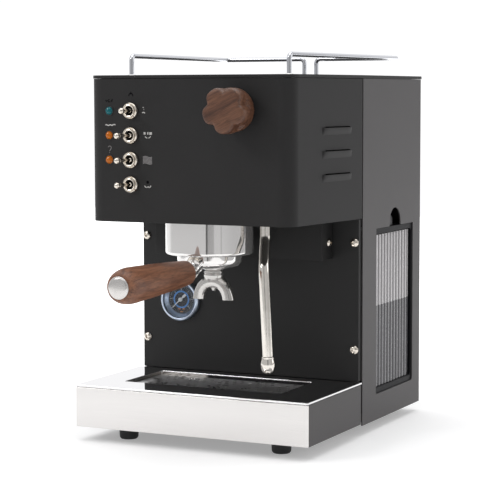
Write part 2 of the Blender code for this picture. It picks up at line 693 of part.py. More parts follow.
def make_portafilter():
    """The bowl with its two ears, hung under the group, its basket, spout and handle."""
    origin = (GROUP_X, GROUP_Y, GROUP_BOTTOM)
    cavity, floor = 29.3 * MM, -7.8 * MM
    base, edge = -12.4 * MM, 8 * MM
    bowl = [(0, floor), (cavity, floor), (cavity, RIM_TOP), (BOWL_RADIUS, RIM_TOP)]
    for step in range(5):
        angle = math.pi / 2 * step / 4
        bowl.append((BOWL_RADIUS - edge + edge * math.cos(angle), base + edge - edge * math.sin(angle)))
    body = turned("portafilter", bowl + [(0, base)], origin, CHROME, steps=32)
    bottom = COLLAR_TOP + GAP
    boss = [(0, base + 2 * MM), (10.5 * MM, base + 2 * MM), (9.2 * MM, bottom), (0, bottom)]
    join(body, turned("boss", boss[::-1], SPOUT_AXIS, CHROME, steps=20))
    for side in (-1, 1):
        ends = sorted((GROUP_X + side * 30.2 * MM, GROUP_X + side * 35.4 * MM))
        low, high = GROUP_BOTTOM + LIP_TOP + GAP, GROUP_BOTTOM + RIM_TOP - 0.6 * MM
        half = 6.5 * MM
        join(body, box("ear", (ends[0], GROUP_Y - half, low), (ends[1], GROUP_Y + half, high), CHROME))
    neck_z = GROUP_BOTTOM - 7.5 * MM
    neck = [
        (GROUP_X, GROUP_Y - 30 * MM, neck_z),
        (GROUP_X, GROUP_Y - 32.5 * MM, neck_z),
        (GROUP_X, GROUP_Y - 38.5 * MM, HANDLE_Z),
        (GROUP_X, HANDLE_START + 1.2 * MM, HANDLE_Z),
    ]
    join(body, tube("neck", neck, 7.4 * MM, CHROME, 3, [1.15, 1.05, 0.95, 1]))
    ferrule = [(0, -4 * MM), (8.2 * MM, -4 * MM), (8.6 * MM, -1 * MM), (8 * MM, 0), (0, 0)]
    ferrule_at = (GROUP_X, HANDLE_START, HANDLE_Z)
    join(body, turned("ferrule", ferrule, ferrule_at, CHROME, axis="Y", steps=20))

    rim, wall = 31.2 * MM, 28.9 * MM
    bottom, sheet = floor + 0.8 * MM, 0.7 * MM
    flange_top = RIM_TOP + 1 * MM
    basket = [
        (0, bottom),
        (27.6 * MM, bottom),
        (wall, bottom + 2.6 * MM),
        (wall, RIM_TOP + GAP),
        (rim, RIM_TOP + GAP),
        (rim, flange_top),
        (wall - sheet, flange_top),
        (wall - sheet, bottom + 3 * MM),
        (27 * MM, bottom + sheet),
        (0, bottom + sheet),
    ]
    basket_cup = turned("filter_basket", basket, origin, STEEL, steps=28)
    lock = pivot("portafilter_lock", (GROUP_X, GROUP_Y, GROUP_BOTTOM + RIM_TOP))
    hang(lock, body, basket_cup, make_spout(), *make_handle())


# Where the spout's collar meets the bowl, over the group's lower edge, and the spout's own axis.
COLLAR_TOP = -17.2 * MM
SPOUT_AXIS = (GROUP_X, GROUP_Y + SPOUT_SETBACK, GROUP_BOTTOM)


def make_spout():
    """The twin spout: a collar and an arch whose two ends pour side by side."""
    collar_bottom = COLLAR_TOP - 9.6 * MM
    collar = [
        (0, COLLAR_TOP),
        (9.4 * MM, COLLAR_TOP),
        (9.8 * MM, COLLAR_TOP - 3.6 * MM),
        (8.6 * MM, collar_bottom),
        (0, collar_bottom),
    ]
    spout = turned("spout", collar, SPOUT_AXIS, CHROME, steps=20)
    x, y, _ = SPOUT_AXIS
    end_x, end_z = 16.2 * MM, GROUP_BOTTOM - 45 * MM
    arch = [(0, 17.2), (5.8, 16.1), (10.8, 12.6), (14.4, 6.9)]
    right = [(u * MM, end_z + w * MM) for u, w in arch] + [(end_x, end_z)]
    line = [(-u, z) for u, z in reversed(right[1:])] + right
    join(spout, tube("arch", [(x + u, y, z) for u, z in line], 6 * MM, CHROME, resolution=3))
    bore = cylinder(4 * MM, -9 * MM, 6 * MM)
    for side in (-1, 1):
        cut(spout, turned("bore", bore, (x + side * end_x, y, end_z), CHROME, steps=12))
    return spout


def make_handle():
    """The walnut grip, thickest near its end, and its domed steel cap. Both droop a little to the front."""
    start = HANDLE_START - GAP
    cap_depth = 2.6 * MM
    wood_end = start - HANDLE_END - cap_depth - 0.2 * MM
    neck, thick, thickest = 11.9 * MM, 16.5 * MM, 0.84
    grip = [(0, 0), (neck - 1.5 * MM, 0), (neck, 1.4 * MM)]
    for share in (0.25, 0.5, 0.75, 1):
        swell = 1.3 * share - 0.3 * share**2
        grip.append((neck + (thick - neck) * swell, share * thickest * wood_end))
    cap_radius = 10.3 * MM
    for step in range(1, 5):
        angle = math.pi / 2 * step / 5
        radius = cap_radius + (thick - cap_radius) * math.cos(angle)
        grip.append((radius, (thickest + (1 - thickest) * math.sin(angle)) * wood_end))
    grip += [(cap_radius, wood_end), (0, wood_end)]
    wood = turned("portafilter_handle", grip, (GROUP_X, start, HANDLE_Z), WALNUT, axis="Y", steps=24)
    dome = [(0, 0), (1, 0), (1, 0.35), (0.82, 0.65), (0.5, 0.92), (0, 1)]
    dome = [(radius * (cap_radius - 0.1 * MM), height * cap_depth) for radius, height in dome]
    cap_at = (GROUP_X, HANDLE_END + cap_depth, HANDLE_Z)
    cap = turned("handle_cap", dome, cap_at, STEEL, axis="Y", steps=24)
    hinge = Vector((GROUP_X, start, HANDLE_Z))
    droop = Matrix.Translation(hinge) @ Matrix.Rotation(math.radians(HANDLE_DROOP), 4, "X")
    for piece in (wood, cap):
        piece.matrix_world = droop @ Matrix.Translation(-hinge) @ piece.matrix_world
    return [wood, cap]


def make_boiler():
    """The brass boiler on the group, hollow, with an open port on top for its heating element."""
    outside = [
        (5, 29.2),
        (40, 29.2),
        (40, 53.4),
        (49, 53.4),
        (49, 61.4),
        (44, 61.4),
        (44, 132),
        (36, 142),
        (12, 145),
        (12, 151),
    ]
    inside = [(8, 151), (8, 140), (34, 137), (40, 129), (40, 63.4), (34, 56.4), (34, 42.4), (5, 36.4)]
    shell = [(radius * MM, height * MM) for radius, height in outside + inside]
    turned("boiler", shell, (GROUP_X, GROUP_Y, GROUP_BOTTOM), BRASS, steps=28)
    plug = [(0, 118), (7.4, 118), (7.4, 151.3), (13, 151.3), (13, 156), (3, 156), (3, 164), (0, 164)]
    plug = [(radius * MM, height * MM) for radius, height in plug]
    turned("heating_element", plug, (GROUP_X, GROUP_Y, GROUP_BOTTOM), STEEL, steps=16)


# ---------------------------------------------------------------- steam side


def knob_outline(radius, depth):
    """A circle with five broad scallops pressed into it. One scallop is at the top."""
    points = []
    steps, spacing = 50, 2 * math.pi / 5
    for step in range(steps):
        angle = 2 * math.pi * step / steps
        nearest = (angle - math.pi / 2 + spacing / 2) % spacing - spacing / 2
        reach = radius - depth * math.exp(-((nearest / math.radians(14)) ** 2))
        points.append((KNOB_X + reach * math.cos(angle), KNOB_Z + reach * math.sin(angle)))
    return points


def make_steam_valve():
    """The valve block behind the head's front, its bonnet through the hole, its spindle and its knob."""
    body_front = HEAD_FRONT + 20 * MM
    block_low = (KNOB_X - 9 * MM, body_front, KNOB_Z - 11 * MM)
    block = box("steam_valve", block_low, (KNOB_X + 10 * MM, WAND_Y + 8 * MM, KNOB_Z + 9 * MM), BRASS)
    at = (KNOB_X, body_front, KNOB_Z)
    bonnet = turned("bonnet", cylinder(7 * MM, -3 * MM, 24 * MM), at, BRASS, axis="Y", steps=20)
    pipe = [(WAND_X, WAND_Y, KNOB_Z - 5 * MM), (WAND_X, WAND_Y, 233 * MM)]
    join(block, bonnet, tube("outlet", pipe, 3.5 * MM, COPPER, 2))
    cut(block, turned("bore", cylinder(3.4 * MM, 12 * MM, 40 * MM), at, BRASS, axis="Y", steps=16))
    spindle_at = (KNOB_X, HEAD_FRONT + 2 * MM, KNOB_Z)
    spindle = cylinder(3 * MM, 0, 20 * MM)
    spindle = turned("valve_spindle", spindle, spindle_at, STEEL, axis="Y", steps=14)
    at = (KNOB_X, KNOB_BACK, KNOB_Z)
    outline = knob_outline(KNOB_RADIUS, 4.3 * MM)
    lobes_back = KNOB_BACK - 9.5 * MM
    knob = plate("steam_knob", [outline], KNOB_BACK - KNOB_LENGTH, lobes_back, WALNUT, axis="Y")
    disc = [(0, 0), (18.8, 0), (20.2, 1.4), (20.2, 9), (18.4, 11), (0, 11)]
    disc = [(radius * MM, height * MM) for radius, height in disc]
    join(knob, turned("disc", disc, at, WALNUT, axis="Y", steps=40))
    socket = cylinder(3.3 * MM, -3 * MM, 12 * MM)
    cut(knob, turned("socket", socket, at, WALNUT, axis="Y", steps=14))
    hang(pivot("steam_knob_turn", at), spindle, knob)


# The wand leans forward and to the right, away from the group.
WAND_FORWARD = Vector((0.437, -0.9, 0))
WAND_SIDE = Vector((0.9, 0.437, 0))


def wand_point(side, forward, z):
    plan = Vector((WAND_X, WAND_Y, 0)) + (WAND_SIDE * side + WAND_FORWARD * forward) * MM
    return (plan.x, plan.y, z * MM)


def make_wand():
    """The steam wand: down out of its fitting, a knee forward, then straight down to the tip."""
    fitting = [(5.4 * MM, 0), (8.2 * MM, 0), (8.8 * MM, 1.4 * MM), (8.8 * MM, 20 * MM), (5.4 * MM, 20 * MM)]
    turned("wand_fitting", fitting, (WAND_X, WAND_Y, HEAD_BOTTOM - 3.6 * MM), CHROME, steps=20)
    knee = [(0, 0, 230), (0, 0, 198.5), (-1.6, 22, 173), (2.1, 24, 90)]
    path = bent([wand_point(*point) for point in knee], 13 * MM, steps=5)
    wand = tube("steam_wand", path, WAND_RADIUS, CHROME, resolution=4)
    bore = [(0, 0), (1.2, 0), (1.2, 3)]
    shell = [(2, 0.2), (4.6, 1.4), (6.4, 4.8), (6.8, 8.6), (6.2, 13.4), (5.2, 16.6), (0, 16.6)]
    nozzle = [(radius * MM, height * MM) for radius, height in bore + shell]
    tip = turned("steam_tip", nozzle, wand_point(2.2, 24, 73.1), CHROME, steps=20)
    hang(pivot("steam_wand_swivel", (WAND_X, WAND_Y, HEAD_BOTTOM)), wand, tip)


# ---------------------------------------------------------------- controls


def make_switches():
    """Four toggle switches: a bushing with its dress nut, and a bat lever on a pivot inside it."""
    bushing = [
        (4.3 * MM, 4.6 * MM),
        (5.2 * MM, 5 * MM),
        (7.2 * MM, 4.2 * MM),
        (8.1 * MM, 2.6 * MM),
        (8.1 * MM, GAP),
        (5.9 * MM, GAP),
        (5.9 * MM, -3.4 * MM),
        (8.2 * MM, -3.4 * MM),
        (8.2 * MM, -22 * MM),
        (3 * MM, -22 * MM),
        (4.3 * MM, -6 * MM),
    ]
    pivot_depth = 1.5 * MM
    bat = [(0, -2.5), (1.9, -1.8), (1.7, 3), (1.9, 8), (2.7, 18.2), (3, 21.3), (2.3, 23.4), (0, 24)]
    bat = [(radius * MM, height * MM) for radius, height in bat]
    for number, (z, tilt) in enumerate(zip(SWITCH_Z, LEVER_TILTS), start=1):
        turned(f"switch_bushing_{number}", bushing, (SWITCH_X, HEAD_FRONT, z), CHROME, axis="Y", steps=18)
        at = Vector((SWITCH_X, HEAD_FRONT - pivot_depth, z))
        lever = turned(f"switch_lever_{number}", bat, at, CHROME, axis="Y", steps=12)
        tilted = Matrix.Translation(at) @ Matrix.Rotation(math.radians(tilt), 4, "Z")
        lever.matrix_world = tilted @ Matrix.Translation(-at) @ lever.matrix_world
        hang(pivot(f"switch_{number}_pivot", at), lever)


def make_lamps():
    lens = [
        (0, 3.4 * MM),
        (1.8 * MM, 3.1 * MM),
        (3.2 * MM, 2 * MM),
        (3.9 * MM, GAP),
        (3 * MM, GAP),
        (3 * MM, -9 * MM),
        (0, -9 * MM),
    ]
    finishes = {"power": TEAL_LENS, "heating": AMBER_LENS, "steam": AMBER_LENS}
    for (name, finish), z in zip(finishes.items(), SWITCH_Z):
        turned(f"{name}_lamp", lens, (LAMP_X, HEAD_FRONT, z), finish, axis="Y", steps=20)


def make_gauge():
    """The pressure gauge in the panel: cased behind, with a bezel, dial, needle and glass in front."""
    bezel = [
        (0, -20 * MM),
        (19.4 * MM, -20 * MM),
        (19.4 * MM, GAP),
        (21.9 * MM, GAP),
        (21.9 * MM, 3.4 * MM),
        (20.6 * MM, 6 * MM),
        (19 * MM, 6.4 * MM),
        (18.4 * MM, 5.6 * MM),
        (18.4 * MM, 0),
        (17.2 * MM, -1 * MM),
        (0, -1 * MM),
    ]
    turned("gauge_case", bezel, GAUGE, STEEL, axis="Y", steps=40)
    dial = [(0, -0.7 * MM), (16.6 * MM, -0.7 * MM), (16.6 * MM, 0), (0, 0)]
    turned("gauge_dial", dial, GAUGE, DIAL, axis="Y", steps=32)
    glass = [(0, 3.6 * MM), (18.1 * MM, 3.6 * MM), (18.1 * MM, 4.8 * MM), (0, 5.1 * MM)]
    turned("gauge_glass", glass, GAUGE, GLASS, axis="Y", steps=32)
    half_blade = [(14.5, 0.35), (3, 0.8), (-3, 1.3), (-8, 1.3)]
    blade = half_blade + [(along, -half) for along, half in reversed(half_blade)]
    to_rest = Matrix.Rotation(math.radians(222), 2) * MM
    middle = Vector((GAUGE.x, GAUGE.z))
    outline = [tuple(middle + to_rest @ Vector(point)) for point in blade]
    front = GAUGE.y - 2.2 * MM
    needle = plate("gauge_needle", [outline], front - GAP, front + GAP, NEEDLE, axis="Y")
    at = (GAUGE.x, front, GAUGE.z)
    hub = cylinder(2.2 * MM, -0.9 * MM, 1 * MM)
    join(needle, turned("hub", hub, at, NEEDLE, axis="Y", steps=16))
    hang(pivot("gauge_needle_axis", at), needle)


# ---------------------------------------------------------------- water and power


def make_tank():
    """The ribbed tank, open on top, and the shelf it slides on."""
    near, far = TANK_Y
    inner_x, outer_x = TANK_X
    rib, count = 1.2 * MM, 11
    pitch = (far - near - 8 * MM) / count
    outline = [(inner_x, far), (inner_x, near), (outer_x - rib, near)]
    for number in range(count):
        start = near + 4 * MM + number * pitch
        outline += [
            (outer_x - rib, start),
            (outer_x, start + 0.15 * pitch),
            (outer_x, start + 0.5 * pitch),
            (outer_x - rib, start + 0.65 * pitch),
        ]
    outline.append((outer_x - rib, far))
    wall = 2 * MM
    tank = plate("water_tank", [outline], *TANK_Z, CLEAR_PLASTIC)
    middle_x, middle_y = (inner_x + outer_x - rib) / 2, (near + far) / 2
    half_x, half_y = (outer_x - rib - inner_x) / 2 - wall, (far - near) / 2 - wall
    hollow = rounded(rectangle(middle_x, middle_y, half_x, half_y), 5 * MM, 3)
    cut(tank, plate("hollow", [hollow], TANK_Z[0] + wall, TANK_Z[1] + 5 * MM, CLEAR_PLASTIC))
    hang(pivot("tank_slide", (outer_x, middle_y, TANK_Z[0])), tank)

    shelf_top = TANK_Z[0] - 0.4 * MM
    foot = BASE_BOTTOM + 1.8 * MM
    front, back = near - 2.6 * MM, far + 2.6 * MM
    sheet = 1.4 * MM
    profile = [
        (front, foot),
        (front, shelf_top),
        (back, shelf_top),
        (back, foot),
        (back - sheet, foot),
        (back - sheet, shelf_top - sheet),
        (front + sheet, shelf_top - sheet),
        (front + sheet, foot),
    ]
    plate("tank_shelf", [profile], -60 * MM, 119.5 * MM, BLACK_PLASTIC, axis="X")


def make_pump():
    """The vibration pump on the chassis, and the copper pipe from it up to the boiler."""
    at = (-90 * MM, 120 * MM, 2 * MM)
    profile = [
        (0, 14 * MM),
        (14 * MM, 14 * MM),
        (14 * MM, 20 * MM),
        (21 * MM, 20 * MM),
        (21 * MM, 74 * MM),
        (15 * MM, 76 * MM),
        (15 * MM, 92 * MM),
        (7 * MM, 94 * MM),
        (7 * MM, 108 * MM),
        (0, 108 * MM),
    ]
    turned("pump", profile, at, BLACK_PLASTIC, steps=24)
    pipe = [
        (-90 * MM, 120 * MM, 110.5 * MM),
        (-90 * MM, 120 * MM, 300 * MM),
        (-68 * MM, 30 * MM, 300 * MM),
        (-68 * MM, GROUP_Y + 6 * MM, 262 * MM),
        (-50.2 * MM, GROUP_Y + 2 * MM, 262 * MM),
    ]
    tube("boiler_feed_pipe", bent(pipe, 9 * MM, 4), 3 * MM, COPPER, resolution=2)


def make_inlet():
    """A three-pin power inlet in the back, its socket open to the rear."""
    rear = COLUMN_BACK + 2 * MM
    rim = rounded(rectangle(INLET_X, INLET_Z, 24 * MM, 15 * MM), 3 * MM, 3)
    flange = plate("power_inlet", [rim], COLUMN_BACK + GAP, rear, BLACK_PLASTIC, axis="Y")
    rim = rectangle(INLET_X, INLET_Z, 14.4 * MM, 11.4 * MM)
    body = plate("body", [rim], COLUMN_BACK - 18 * MM, COLUMN_BACK + 1 * MM, BLACK_PLASTIC, axis="Y")
    join(flange, body)
    right = [(12, -8.5), (12, 4), (7.5, 8.5)]
    mouth = right + [(-u, v) for u, v in reversed(right)]
    mouth = [(INLET_X + u * MM, INLET_Z + v * MM) for u, v in mouth]
    socket = plate("socket", [mouth], COLUMN_BACK - 14 * MM, rear + 4 * MM, BLACK_PLASTIC, axis="Y")
    cut(flange, socket)
    half_pin = Vector((1, 5, 2)) * MM
    for u, v in ((-7, -2), (0, 2), (7, -2)):
        middle = Vector((INLET_X + u * MM, COLUMN_BACK - 10 * MM, INLET_Z + v * MM))
        join(flange, box("pin", middle - half_pin, middle + half_pin, BLACK_PLASTIC))


def build():
    make_case()
    make_panel()
    make_panel_screws()
    make_boiler_cover()
    make_head()
    make_lid()
    make_rails()
    make_chassis()
    make_base_top()
    make_grille()
    make_drawer()
    make_feet()
    make_group()
    make_portafilter()
    make_boiler()
    make_steam_valve()
    make_wand()
    make_switches()
    make_lamps()
    make_gauge()
    make_tank()
    make_pump()
    make_inlet()


clear_scene()
machine = new_collection("espresso_machine")
cutters = new_collection("cutters")
build()
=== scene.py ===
"""Looks of the espresso machine: refined pieces, procedural materials, camera and studio, built round
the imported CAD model. Metres, +Z up, the front faces -Y."""

import math

import bmesh
import bpy
from mathutils import Matrix, Vector


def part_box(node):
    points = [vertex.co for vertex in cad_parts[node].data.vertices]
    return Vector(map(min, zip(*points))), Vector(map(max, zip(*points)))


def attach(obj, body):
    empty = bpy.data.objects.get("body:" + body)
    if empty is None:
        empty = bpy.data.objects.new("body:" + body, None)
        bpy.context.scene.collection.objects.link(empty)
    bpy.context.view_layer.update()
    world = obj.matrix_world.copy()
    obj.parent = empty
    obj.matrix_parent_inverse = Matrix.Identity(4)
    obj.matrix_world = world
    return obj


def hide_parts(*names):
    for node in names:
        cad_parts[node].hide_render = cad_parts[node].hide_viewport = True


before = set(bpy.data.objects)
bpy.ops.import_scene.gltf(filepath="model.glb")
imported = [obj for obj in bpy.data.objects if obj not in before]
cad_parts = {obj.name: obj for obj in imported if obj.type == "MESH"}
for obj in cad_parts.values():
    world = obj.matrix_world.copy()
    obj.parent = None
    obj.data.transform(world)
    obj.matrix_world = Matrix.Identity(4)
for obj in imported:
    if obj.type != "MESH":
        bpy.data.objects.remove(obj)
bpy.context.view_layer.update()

MM = 0.001

# Driving sizes that the frame's boxes don't give.
SHEET = 1.2 * MM
HEAD_FRONT_WIDTH = 211.9 * MM
HEAD_CORNER = 16 * MM
LID_OVERHANG = 0.6 * MM
WATER_LEVEL = 125 * MM
WELL_BRIGHT_END = -38 * MM
HANDLE_Z = 168.6 * MM
HANDLE_DROOP = 0.75
LEVER_TILTS = [7, -7, -7, -7]

# The tank's ribs: how far in from each end they start, and how many there are.
RIB_MARGIN = 4 * MM
RIB_COUNT = 11

# Turns that carry a shape drawn in its own X and Y, or turned about its own Z, to the axis named.
# A height on Y goes to the front.
TO_AXIS = {
    "Z": Matrix.Identity(3),
    "X": Matrix(((0, 0, 1), (1, 0, 0), (0, 1, 0))),
    "Y": Matrix(((1, 0, 0), (0, 0, -1), (0, 1, 0))),
}


def low(node):
    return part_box(node)[0]


def high(node):
    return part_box(node)[1]


def centre(node):
    return (low(node) + high(node)) / 2


def rib_pitch():
    near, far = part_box("water_tank")
    return (far.y - near.y - 2 * RIB_MARGIN) / RIB_COUNT


# ---------------------------------------------------------------- materials


class Paint:
    """A Principled material under construction, with short ways to add nodes and links."""

    def __init__(self, name, colour, roughness, metallic=0.0, **settings):
        self.material = bpy.data.materials.new(name)
        self.material.use_nodes = True
        self.tree = self.material.node_tree
        self.shader = self.tree.nodes["Principled BSDF"]
        self.shader.inputs["Base Color"].default_value = (*colour, 1)
        self.shader.inputs["Roughness"].default_value = roughness
        self.shader.inputs["Metallic"].default_value = metallic
        for socket, value in settings.items():
            self.shader.inputs[socket.replace("_", " ")].default_value = value
        self.place = self.tree.nodes.new("ShaderNodeTexCoord").outputs["Object"]

    def node(self, kind, inputs=(), **settings):
        made = self.tree.nodes.new(kind)
        for name, value in settings.items():
            setattr(made, name, value)
        for socket, value in dict(inputs).items():
            if isinstance(value, bpy.types.NodeSocket):
                self.tree.links.new(value, made.inputs[socket])
            else:
                made.inputs[socket].default_value = value
        return made

    def stretched(self, scale):
        return self.node("ShaderNodeMapping", {"Vector": self.place, "Scale": scale}).outputs["Vector"]

    def turned(self, degrees):
        """Turns the pattern about Y, so that its lines rise to one side."""
        turn = {"Vector": self.place, "Rotation": (0, math.radians(degrees), 0)}
        self.place = self.node("ShaderNodeMapping", turn).outputs["Vector"]

    def noise(self, scale, detail=3.0, stretch=(1, 1, 1), distortion=0.0, roughness=0.5):
        inputs = {
            "Vector": self.stretched(stretch),
            "Scale": scale,
            "Detail": detail,
            "Roughness": roughness,
            "Distortion": distortion,
        }
        return self.node("ShaderNodeTexNoise", inputs).outputs["Fac"]

    def ramp(self, value, stops):
        """Colours or greys along a value from 0 to 1."""
        made = self.node("ShaderNodeValToRGB", {"Fac": value})
        elements = made.color_ramp.elements
        while len(elements) < len(stops):
            elements.new(0.5)
        for element, (position, colour) in zip(elements, stops):
            element.position = position
            element.color = (*colour, 1) if hasattr(colour, "__len__") else (colour, colour, colour, 1)
        return made.outputs["Color"]

    def to_range(self, value, lowest, highest):
        inputs = {"Value": value, "From Min": 0.25, "From Max": 0.75, "To Min": lowest, "To Max": highest}
        return self.node("ShaderNodeMapRange", inputs).outputs["Result"]

    def mix(self, share, first, second, kind="MIX"):
        made = self.node("ShaderNodeMix", data_type="RGBA", blend_type=kind)
        for socket, value in (("Factor", share), ("A", first), ("B", second)):
            index = {"Factor": 0, "A": 6, "B": 7}[socket]
            if isinstance(value, bpy.types.NodeSocket):
                self.tree.links.new(value, made.inputs[index])
            else:
                made.inputs[index].default_value = value if index == 0 else (*value, 1)
        return made.outputs[2]

    def colour(self, socket):
        self.tree.links.new(socket, self.shader.inputs["Base Color"])
        return self

    def roughness(self, value, lowest, highest):
        self.tree.links.new(self.to_range(value, lowest, highest), self.shader.inputs["Roughness"])
        return self

    def bump(self, value, depth, strength=1.0):
        """Adds a height map whose full swing is depth metres high. Several add up."""
        inputs = {"Height": value, "Distance": depth, "Strength": strength}
        normal = self.shader.inputs["Normal"]
        if normal.is_linked:
            inputs["Normal"] = normal.links[0].from_socket
        self.tree.links.new(self.node("ShaderNodeBump", inputs).outputs["Normal"], normal)
        return self


def powder_coat(name, colour, roughness=0.48, specular=0.5):
    """Fine-textured powder coat: an even orange peel with tiny specks and slight shifts of tone."""
    paint = Paint(name, colour, roughness, Specular_IOR_Level=specular)
    grain = paint.noise(1500, detail=2)
    cloud = paint.noise(24, detail=3)
    tone = paint.mix(cloud, [c * 0.93 for c in colour], [c * 1.09 for c in colour])
    fleck = paint.ramp(grain, [(0.3, 0.86), (0.7, 1.12)])
    paint.colour(paint.mix(1.0, tone, fleck, "MULTIPLY"))
    paint.roughness(grain, roughness - 0.06, roughness + 0.08)
    return paint.bump(grain, 0.05 * MM, 0.5).material


def brushed_steel(name, colour, roughness, stretch, depth=0.004 * MM):
    """Steel with fine straight brush lines along the axis that stretch makes long."""
    steel = Paint(name, colour, roughness, 1.0)
    lines = steel.noise(900, detail=4, stretch=stretch, roughness=0.6)
    broad = steel.noise(60, detail=2, stretch=stretch)
    steel.colour(steel.mix(lines, [c * 0.95 for c in colour], [min(1, c * 1.03) for c in colour]))
    steel.roughness(broad, roughness * 0.8, roughness * 1.25)
    return steel.bump(lines, depth, 0.6).material


def plated(name, colour, roughness, metallic=1.0):
    """Polished plating with faint smears in its gloss and a trace of waviness."""
    chrome = Paint(name, colour, roughness, metallic)
    smear = chrome.noise(55, detail=4, distortion=0.6)
    chrome.roughness(smear, roughness * 0.6, roughness * 1.7)
    return chrome.bump(chrome.noise(28, detail=1), 0.02 * MM, 0.25).material


def walnut(name, grain_axis, shade=1.0, slope=0):
    """Oiled walnut: a fine wavy figure, narrow dark streaks and short open pores along the grain."""
    along = {"X": (0.1, 1, 1), "Y": (1, 0.1, 1)}[grain_axis]
    pores_along = {"X": (0.05, 1, 1), "Y": (1, 0.05, 1)}[grain_axis]
    light = [0.255 * shade, 0.112 * shade, 0.060 * shade]
    middle = [0.178 * shade, 0.073 * shade, 0.039 * shade]
    dark = [0.105 * shade, 0.042 * shade, 0.024 * shade]
    wood = Paint(name, middle, 0.42, Specular_IOR_Level=0.4)
    wood.turned(slope)
    figure = wood.noise(115, detail=6, stretch=along, distortion=1.9, roughness=0.6)
    streak = wood.noise(420, detail=4, stretch=along, distortion=0.7)
    pore = wood.noise(1700, detail=1, stretch=pores_along)
    base = wood.ramp(figure, [(0.3, dark), (0.45, middle), (0.6, light), (0.76, middle)])
    tint = wood.ramp(streak, [(0.34, 0.72), (0.56, 1.05)])
    fleck = wood.ramp(pore, [(0.33, 0.6), (0.42, 1.0)])
    wood.colour(wood.mix(1.0, wood.mix(1.0, base, tint, "MULTIPLY"), fleck, "MULTIPLY"))
    wood.roughness(streak, 0.36, 0.5)
    wood.bump(pore, 0.05 * MM, 0.5)
    return wood.bump(figure, 0.05 * MM, 0.25).material


def moulded(name, colour, roughness, grain=1100, depth=0.03 * MM, **settings):
    """Moulded plastic or rubber with a fine spark texture."""
    plastic = Paint(name, colour, roughness, **settings)
    texture = plastic.noise(grain, detail=2)
    cloud = plastic.noise(40, detail=2)
    plastic.colour(plastic.mix(cloud, [c * 0.88 for c in colour], [c * 1.12 for c in colour]))
    plastic.roughness(texture, roughness * 0.88, roughness * 1.1)
    return plastic.bump(texture, depth, 0.5).material


def lens_material(name, colour, glow):
    lens = Paint(name, colour, 0.2, Specular_IOR_Level=0.25, Coat_Weight=0.25, Coat_Roughness=0.05)
    swirl = lens.noise(420, detail=2)
    lens.colour(lens.mix(swirl, [c * 0.6 for c in colour], [min(1, c * 1.3) for c in colour]))
    lens.shader.inputs["Emission Color"].default_value = (*colour, 1)
    lens.shader.inputs["Emission Strength"].default_value = glow
    return lens.material


def tank_material():
    """Ribbed plastic drawn opaque, with its light and shade painted in: a pale tone above the water line and
    a dark one below it stand for what clear plastic shows, and each rib has a painted highlight beside
    painted shade in its groove."""
    pale, deep = [0.56, 0.54, 0.55], [0.125, 0.123, 0.132]
    plastic = Paint("tank_plastic", pale, 0.2, Specular_IOR_Level=0.5, Coat_Weight=0.25, Coat_Roughness=0.1)
    across = plastic.node("ShaderNodeSeparateXYZ", {"Vector": plastic.place})
    level = {
        "Value": across.outputs["Z"],
        "From Min": WATER_LEVEL - 0.5 * MM,
        "From Max": WATER_LEVEL + 0.5 * MM,
    }
    above = plastic.node("ShaderNodeMapRange", level).outputs["Result"]
    pitches = {0: across.outputs["Y"], 1: low("water_tank").y + RIB_MARGIN}
    pitches = plastic.node("ShaderNodeMath", pitches, operation="SUBTRACT").outputs[0]
    pitches = plastic.node("ShaderNodeMath", {0: pitches, 1: rib_pitch()}, operation="DIVIDE").outputs[0]
    share = plastic.node("ShaderNodeMath", {0: pitches}, operation="FRACT").outputs[0]
    # Painted shade in each groove and a painted highlight on each rib's crest, the shade deeper below the
    # water line.
    groove_shade = plastic.mix(above, (0.07, 0.07, 0.08), (0.24, 0.24, 0.24))
    crest = [(0.0, 0.15), (0.1, 0.7), (0.24, 1.0), (0.42, 0.95), (0.6, 0.25), (0.68, 0.0), (0.92, 0.0)]
    shape = plastic.ramp(share, crest)
    rib_highlights_and_shade = plastic.mix(shape, groove_shade, (1.0, 1.0, 1.0))
    # Pale above the water line and dark below it: painted light and shade for what would show through clear
    # plastic.
    haze = plastic.noise(60, detail=3, stretch=(1, 1, 0.25))
    upper = plastic.mix(haze, [c * 0.86 for c in pale], pale)
    lower = plastic.mix(haze, [c * 0.8 for c in deep], [c * 1.2 for c in deep])
    body = plastic.mix(above, lower, upper)
    plastic.colour(plastic.mix(1.0, body, rib_highlights_and_shade, "MULTIPLY"))
    plastic.roughness(haze, 0.14, 0.3)
    return plastic.material


def well_material():
    """The drip well's steel, with the bright left end and dark rest of its reflections painted in."""
    steel = Paint("well_steel", (0.6, 0.57, 0.54), 0.22, 1.0)
    across = steel.node("ShaderNodeSeparateXYZ", {"Vector": steel.place}).outputs["X"]
    edge = {"Value": across, "From Min": WELL_BRIGHT_END - 2 * MM, "From Max": WELL_BRIGHT_END + 2 * MM}
    dark = steel.node("ShaderNodeMapRange", edge).outputs["Result"]
    steel.colour(steel.mix(dark, (0.6, 0.57, 0.54), (0.03, 0.029, 0.03)))
    return steel.bump(steel.noise(70, detail=3), 0.01 * MM, 0.4).material


def glass_material():
    glass = Paint("gauge_glass", (0.93, 0.96, 1.0), 0.03, IOR=1.2, Transmission_Weight=1.0)
    smear = glass.noise(90, detail=3)
    return glass.roughness(smear, 0.0, 0.05).material


